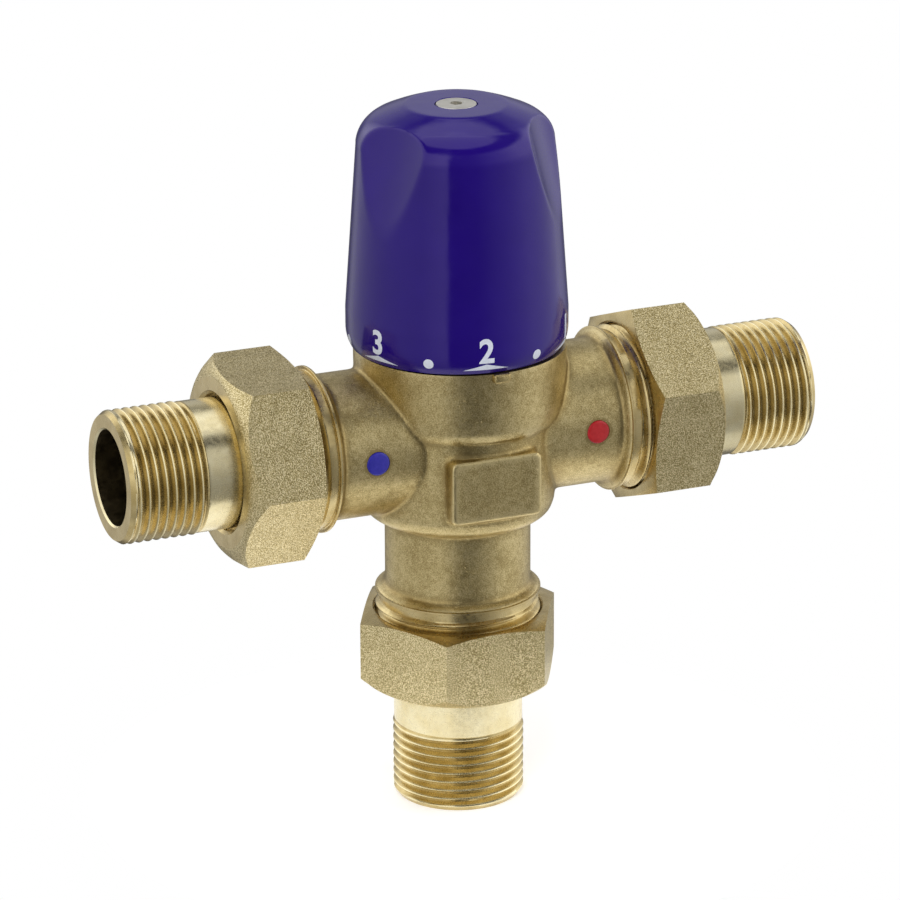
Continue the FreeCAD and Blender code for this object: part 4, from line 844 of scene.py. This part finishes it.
SHOULDER_CENTRE = (12.918 * MM, 135.90 * MM)
SHOULDER_ROUND = 6.84 * MM
SHOULDER_FROM = 4.0                             # degrees above level, as is SHOULDER_TO
SHOULDER_TO = 64.9
SHOULDER_ROWS = 13
DOME_EDGE = 15.8 * MM
DOME_RISE = 145.75 * MM
DOME_SPREAD = 0.068
DOME_ROWS = 12
FLAT_TOP = 144.3 * MM
FLAT_EDGE = 10.2 * MM
SCREW_WELL = 4.22 * MM
GRIP_RADIUS = 34.0 * MM
GRIP_FOOT = 122.0 * MM
GRIP_LEAN = 0.265
GRIP_ANGLES = (-67.5, 52.5, 172.5)
RIB_ANGLE = 202.5
DIAL_COLUMNS = 288
EDGE_ROUND = 0.35 * MM


def wall_radius(height):
    """The dial's side without its grips."""
    side = SIDE_RADIUS - SIDE_SLOPE * (height - SIDE_FOOT)
    turned_under = max(BAND_TOP - height, 0.0) / (BAND_TOP - DIAL_FOOT)
    return min(BAND_RADIUS, side) - SKIRT_TUCK * turned_under ** SKIRT_CURVE


def gripped(radius, angle, height):
    """A radius at an angle from the front, brought in where a finger grip is."""
    foot = wall_radius(GRIP_FOOT)
    nearest = foot - GRIP_LEAN * (height - GRIP_FOOT)
    reach = nearest + GRIP_RADIUS
    for grip in GRIP_ANGLES:
        away = (angle - math.radians(grip) + math.pi) % (2 * math.pi) - math.pi
        if abs(away) > math.pi / 3:
            continue
        across = reach * math.sin(away)
        cut_at = reach * math.cos(away) - math.sqrt(max(GRIP_RADIUS ** 2 - across ** 2, 0.0))
        blend = max(EDGE_ROUND - abs(radius - cut_at), 0.0) / EDGE_ROUND
        radius = min(radius, cut_at) - blend * blend * EDGE_ROUND / 4
    return radius


outer = [(wall_radius(DIAL_FOOT) - 0.3 * MM, DIAL_FOOT)]
for share in (0.05, 0.2, 0.35, 0.5, 0.65, 0.8, 1.0):
    height = DIAL_FOOT + share * (BAND_TOP - DIAL_FOOT)
    outer.append((wall_radius(height), height))
for row in range(1, SIDE_ROWS + 1):
    height = BAND_TOP + (SIDE_TOP - BAND_TOP) * row / SIDE_ROWS
    outer.append((wall_radius(height), height))
for row in range(1, SHOULDER_ROWS + 1):
    turn = math.radians(SHOULDER_FROM + (SHOULDER_TO - SHOULDER_FROM) * row / SHOULDER_ROWS)
    outer.append((SHOULDER_CENTRE[0] + SHOULDER_ROUND * math.cos(turn),
                  SHOULDER_CENTRE[1] + SHOULDER_ROUND * math.sin(turn)))
for row in range(1, DOME_ROWS + 1):
    radius = DOME_EDGE + (FLAT_EDGE + 0.5 * MM - DOME_EDGE) * row / DOME_ROWS
    outer.append((radius, min(DOME_RISE - radius ** 2 / DOME_SPREAD, FLAT_TOP - 0.12 * MM)))
outer += [(FLAT_EDGE, FLAT_TOP - 0.05 * MM), (FLAT_EDGE - 0.5 * MM, FLAT_TOP - 0.01 * MM),
          (FLAT_EDGE - 1.2 * MM, FLAT_TOP), (SCREW_WELL + 0.12 * MM, FLAT_TOP)]
inner = [(SCREW_WELL, FLAT_TOP - 0.12 * MM), (SCREW_WELL, DIAL_TOP - 3.25 * MM),
         (2.05 * MM, DIAL_TOP - 3.25 * MM)]
hub = [(2.05 * MM, SPINDLE_CAVITY), (4.0 * MM, SPINDLE_CAVITY), (4.0 * MM, CLIP_CAVITY),
       (6.6 * MM, CLIP_CAVITY), (6.6 * MM, DIAL_TOP - 6.4 * MM), (13.0 * MM, DIAL_TOP - 6.4 * MM),
       (13.6 * MM, DIAL_TOP - 9.0 * MM), (18.0 * MM, 118.5 * MM), (20.0 * MM, DIAL_FOOT + 8.4 * MM),
       (20.0 * MM, DIAL_FOOT)]
bm = bmesh.new()
turn_up(bm, outer + inner + hub, DIAL_COLUMNS, closed=True)
tidy(bm)
for vert in bm.verts:
    radius = math.hypot(vert.co.x, vert.co.y)
    band_or_well = vert.co.z < BAND_TOP or radius < SCREW_WELL + 0.3 * MM
    inside_wall = radius < wall_radius(vert.co.z) - 1.2 * MM and vert.co.z < SIDE_TOP
    inside_hub = vert.co.z < DIAL_TOP - 6.0 * MM and radius < 14 * MM
    if band_or_well or inside_wall or inside_hub:
        continue
    angle = math.atan2(vert.co.x, -vert.co.y)
    wanted = gripped(radius, angle, vert.co.z)
    vert.co.x *= wanted / radius
    vert.co.y *= wanted / radius
# the rib inside the skirt that stops the dial
rib = block(bm, (14.8 * MM, -3.6 * MM, DIAL_FOOT + 2.6 * MM), (21.2 * MM, 3.6 * MM, DIAL_FOOT + 5.8 * MM))
bmesh.ops.rotate(bm, verts=rib, cent=(0, 0, 0), matrix=Matrix.Rotation(math.radians(RIB_ANGLE), 3, "Z"))

dial_blue, tree, shader, place = new_look("dial_blue_moulding")
shader.inputs["Specular Tint"].default_value = (0.82, 0.68, 1.0, 1.0)
shades(tree, speckle(tree, place, 9 * MM, 2),
       [(0.3, (0.0115, 0.0014, 0.158)), (0.7, (0.0135, 0.0022, 0.176))], shader.inputs["Base Color"])
dust = spread(tree, speckle(tree, place, 0.35 * MM, 3), 0.62, 0.75, 0.0, 0.10)
gloss = spread(tree, speckle(tree, place, 3 * MM, 3), 0.3, 0.7, 0.10, 0.17)
tree.links.new(math_node(tree, "ADD", gloss, dust), shader.inputs["Roughness"])
relief(tree, shader, (speckle(tree, place, 5.0 * MM, 1), 0.05 * MM),
       (speckle(tree, place, 0.5 * MM, 2), 0.0012 * MM))
keep_piece(bm, "dial_moulding", [dial_blue], "dial", ["control_knob"], 30)

# printed marks: numbers 1 to 6, a dot between each two, and a flat arrowhead under each number
NUMBER_TURNS = {"1": 52.5, "2": -7.5, "3": -67.5, "4": -127.5, "5": 172.5, "6": 112.5}
NUMBER_HEIGHT = 5.05 * MM
NUMBER_MIDDLE = 100.5 * MM
DOT_RADIUS = 1.02 * MM
DOT_MIDDLE = 97.9 * MM
ARROW_WIDTH = 9.2 * MM
ARROW_RISE = 1.2 * MM
ARROW_FOOT = 96.55 * MM
INK_PROUD = 0.04 * MM
INK_THICK = 0.08 * MM
INK_STEP = 0.4 * MM
INK_ROW = 0.5 * MM
INK_ROWS = 8                                    # above and below a mark's middle


def printed(bm, flat, angle, middle):
    """Cuts a flat mark into narrow strips, closes it to a thin solid and wraps it around the dial."""
    mark = bmesh.new()
    mark.from_mesh(flat)
    spots = [v.co.x for v in mark.verts]
    step = math.floor(min(spots) / INK_STEP)
    while step * INK_STEP < max(spots):
        sawn(mark, (step * INK_STEP, 0, 0), (1, 0, 0), drop=False)
        step += 1
    for row in range(-INK_ROWS, INK_ROWS + 1):
        sawn(mark, (0, row * INK_ROW, 0), (0, 1, 0), drop=False)
    made = bmesh.ops.extrude_face_region(mark, geom=mark.faces[:])["geom"]
    lifted = [v for v in made if isinstance(v, bmesh.types.BMVert)]
    bmesh.ops.translate(mark, verts=lifted, vec=(0, 0, INK_THICK))
    for vert in mark.verts:
        height = middle + vert.co.y
        radius = wall_radius(height)
        turn = angle + vert.co.x / radius
        radius += INK_PROUD - INK_THICK + vert.co.z
        vert.co = (radius * math.sin(turn), -radius * math.cos(turn), height)
    bmesh.ops.recalc_face_normals(mark, faces=mark.faces)
    done = bpy.data.meshes.new("mark")
    mark.to_mesh(done)
    mark.free()
    bm.from_mesh(done)
    bpy.data.meshes.remove(done)


def flat_number(text):
    """A bold, narrow number as a flat mesh, centred, of the height asked for."""
    curve = bpy.data.curves.new("number", "FONT")
    curve.body = text
    curve.align_x = "CENTER"
    curve.offset = 0.028
    curve.resolution_u = 5
    writing = bpy.data.objects.new("number", curve)
    scene.collection.objects.link(writing)
    bpy.context.view_layer.update()
    flat = bpy.data.meshes.new_from_object(writing.evaluated_get(bpy.context.evaluated_depsgraph_get()))
    bpy.data.objects.remove(writing)
    bpy.data.curves.remove(curve)
    spots = np.empty(len(flat.vertices) * 3)
    flat.vertices.foreach_get("co", spots)
    spots = spots.reshape(-1, 3)
    low, high = spots.min(axis=0), spots.max(axis=0)
    grow = NUMBER_HEIGHT / (high[1] - low[1])
    spots = (spots - (low + high) / 2) * (grow * 0.92, grow, 0)
    flat.vertices.foreach_set("co", spots.ravel())
    return flat


def flat_shape(corners):
    """One flat face between (x, y) corners, as a mesh."""
    bm = bmesh.new()
    bm.faces.new([bm.verts.new((x, y, 0)) for x, y in corners])
    flat = bpy.data.meshes.new("shape")
    bm.to_mesh(flat)
    bm.free()
    return flat


ink = bmesh.new()
dot_turns = [math.tau * n / 32 for n in range(32)]
dot = flat_shape([(DOT_RADIUS * math.cos(turn), DOT_RADIUS * math.sin(turn)) for turn in dot_turns])
arrow = flat_shape([(-ARROW_WIDTH / 2, 0), (ARROW_WIDTH / 2, 0), (0, ARROW_RISE)])
for number, turn in NUMBER_TURNS.items():
    printed(ink, flat_number(number), math.radians(turn), NUMBER_MIDDLE)
    printed(ink, arrow, math.radians(turn), ARROW_FOOT)
    printed(ink, dot, math.radians(turn + 30), DOT_MIDDLE)
white_ink, tree, shader, place = new_look("white_ink")
shader.inputs["Roughness"].default_value = 0.42
shades(tree, speckle(tree, place, 0.6 * MM, 3), [(0.3, (0.66, 0.70, 0.80)), (0.6, (0.74, 0.78, 0.88))],
       shader.inputs["Base Color"])
relief(tree, shader, (speckle(tree, place, 0.3 * MM, 2), 0.006 * MM))
keep_piece(ink, "dial_print", [white_ink], "dial", smooth_angle=40)

# ------------------------------------------------------------------ dial screw
# Stainless socket screw that holds the dial on its spindle. It is turned, with its head level with the
# dial's flat top and a hexagon socket pressed into it.
screw_low, screw_high = (Vector(corner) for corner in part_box("knob_screw"))
head_seat = screw_high.z - 2.25 * MM
screw_high.z = FLAT_TOP + 0.05 * MM
HEAD_RADIUS = 4.02 * MM
SCREW_RADIUS = 2.0 * MM
SOCKET = 2.3 * MM / math.sqrt(3)
SOCKET_DEPTH = 1.3 * MM
bm = bmesh.new()
turn_up(bm, [(SOCKET + 0.5 * MM, screw_high.z), (HEAD_RADIUS - 0.3 * MM, screw_high.z),
             (HEAD_RADIUS - 0.08 * MM, screw_high.z - 0.08 * MM), (HEAD_RADIUS, screw_high.z - 0.3 * MM),
             (HEAD_RADIUS, head_seat), (SCREW_RADIUS, head_seat), (SCREW_RADIUS, screw_low.z),
             (0, screw_low.z)], 96)
turns = [math.radians(60 * n) for n in range(6)]
hexagon = [bm.verts.new((SOCKET * math.cos(turn), SOCKET * math.sin(turn), screw_high.z)) for turn in turns]
walls = [bm.edges.new((hexagon[n], hexagon[(n + 1) % 6])) for n in range(6)]
rim = [e for e in bm.edges if e.is_boundary and e not in walls
       and all(abs(v.co.z - screw_high.z) < 1e-7 for v in e.verts)]
bmesh.ops.bridge_loops(bm, edges=rim + walls)
deep = bmesh.ops.extrude_edge_only(bm, edges=walls)["geom"]
bottom = [v for v in deep if isinstance(v, bmesh.types.BMVert)]
bmesh.ops.translate(bm, verts=bottom, vec=(0, 0, -SOCKET_DEPTH))
bmesh.ops.edgeloop_fill(bm, edges=[e for e in deep if isinstance(e, bmesh.types.BMEdge) and e.is_boundary])
tidy(bm, 1e-7)
stainless = turned_metal("stainless_screw", (0.84, 0.82, 0.76), (0.74, 0.72, 0.66), 0.36, "Z", 0.006 * MM)
keep_piece(bm, "dial_screw", [stainless], "dial", ["knob_screw"], 30)

# ------------------------------------------------------------------ markers
# Small glossy plugs, moulded in colour and pressed into blind holes in the necks: blue on the cold side, red
# on the hot side.
PLUG_RADIUS = 2.35 * MM
PLUG_CROWN = 0.90 * MM


def glossy_plug(name, colour, paler):
    """Glossy coloured plastic, a little uneven in colour and surface."""
    look, tree, shader, place = new_look(name)
    shader.inputs["Roughness"].default_value = 0.18
    shades(tree, speckle(tree, place, 0.8 * MM, 3), [(0.35, colour), (0.7, paler)],
           shader.inputs["Base Color"])
    relief(tree, shader, (speckle(tree, place, 0.7 * MM, 2), 0.02 * MM))
    return look


blue_plug = glossy_plug("blue_plug", (0.022, 0.020, 0.30), (0.035, 0.03, 0.36))
red_plug = glossy_plug("red_plug", (0.40, 0.012, 0.016), (0.47, 0.02, 0.024))
for name, slot, look in (("cold", "blue_enamel", blue_plug), ("hot", "red_enamel", red_plug)):
    low, high = (Vector(corner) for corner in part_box(f"{name}_marker"))
    bm = bmesh.new()
    turn_up(bm, [(0, 0), (PLUG_RADIUS, 0), (PLUG_RADIUS, 0.72 * MM), (2.25 * MM, 0.82 * MM),
                 (1.9 * MM, 0.87 * MM), (1.0 * MM, PLUG_CROWN), (0, PLUG_CROWN)], 64, "-Y",
            ((low.x + high.x) / 2, high.y, (low.z + high.z) / 2))
    tidy(bm, 1e-7)
    keep_piece(bm, f"{name}_plug", [look], "valve_body", [f"{name}_marker"], 40)

# ------------------------------------------------------------------ inner pieces
# Everything else keeps its own solid: seals, springs, clips, seats, spool, check valves and head. Each takes
# the plain finish of what it is made of: turned brass, drawn steel, rubber, fibre or moulded plastic.


def plain_look(name, dark, light, cell, rough, metal=0.0, depth=0.004 * MM):
    """An even material with a faint mottle one cell wide in its colour, its gloss and its surface."""
    look, tree, shader, place = new_look(name)
    shader.inputs["Metallic"].default_value = metal
    shades(tree, speckle(tree, place, cell, 3), [(0.3, dark), (0.7, light)], shader.inputs["Base Color"])
    tree.links.new(spread(tree, speckle(tree, place, cell * 0.6, 2), 0.3, 0.7, rough * 0.85, rough * 1.2),
                   shader.inputs["Roughness"])
    relief(tree, shader, (speckle(tree, place, cell * 0.3, 2), depth))
    return look


inner_looks = {
    "turned_brass": tail_brass["Z"],
    "steel": plain_look("drawn_steel", (0.50, 0.50, 0.50), (0.62, 0.62, 0.62), 1.5 * MM, 0.30, 1.0),
    "bright_steel": stainless,
    "seal_rubber": plain_look("seal_rubber", (0.015, 0.015, 0.016), (0.035, 0.035, 0.036), 1.2 * MM, 0.5),
    "fibre": plain_look("pressed_fibre", (0.05, 0.09, 0.07), (0.11, 0.17, 0.14), 0.5 * MM, 0.8,
                        depth=0.02 * MM),
    "white_plastic": plain_look("acetal", (0.74, 0.73, 0.69), (0.83, 0.82, 0.78), 4 * MM, 0.35),
    "grey_plastic": plain_look("grey_moulding", (0.20, 0.21, 0.23), (0.27, 0.28, 0.30), 3 * MM, 0.4),
}
dressed = {"body_casting", "control_knob", "knob_screw", "cold_marker", "hot_marker"}
dressed |= {f"{name}_{kind}" for name in UNIONS for kind in ("nut", "tail")}
for part in frame["record"]["subparts"]:
    if part["node"] in dressed:
        continue
    mesh = nodes_by_name[part["node"]].data
    for index in range(len(mesh.materials)):
        mesh.materials[index] = inner_looks[part["material_slot"]]
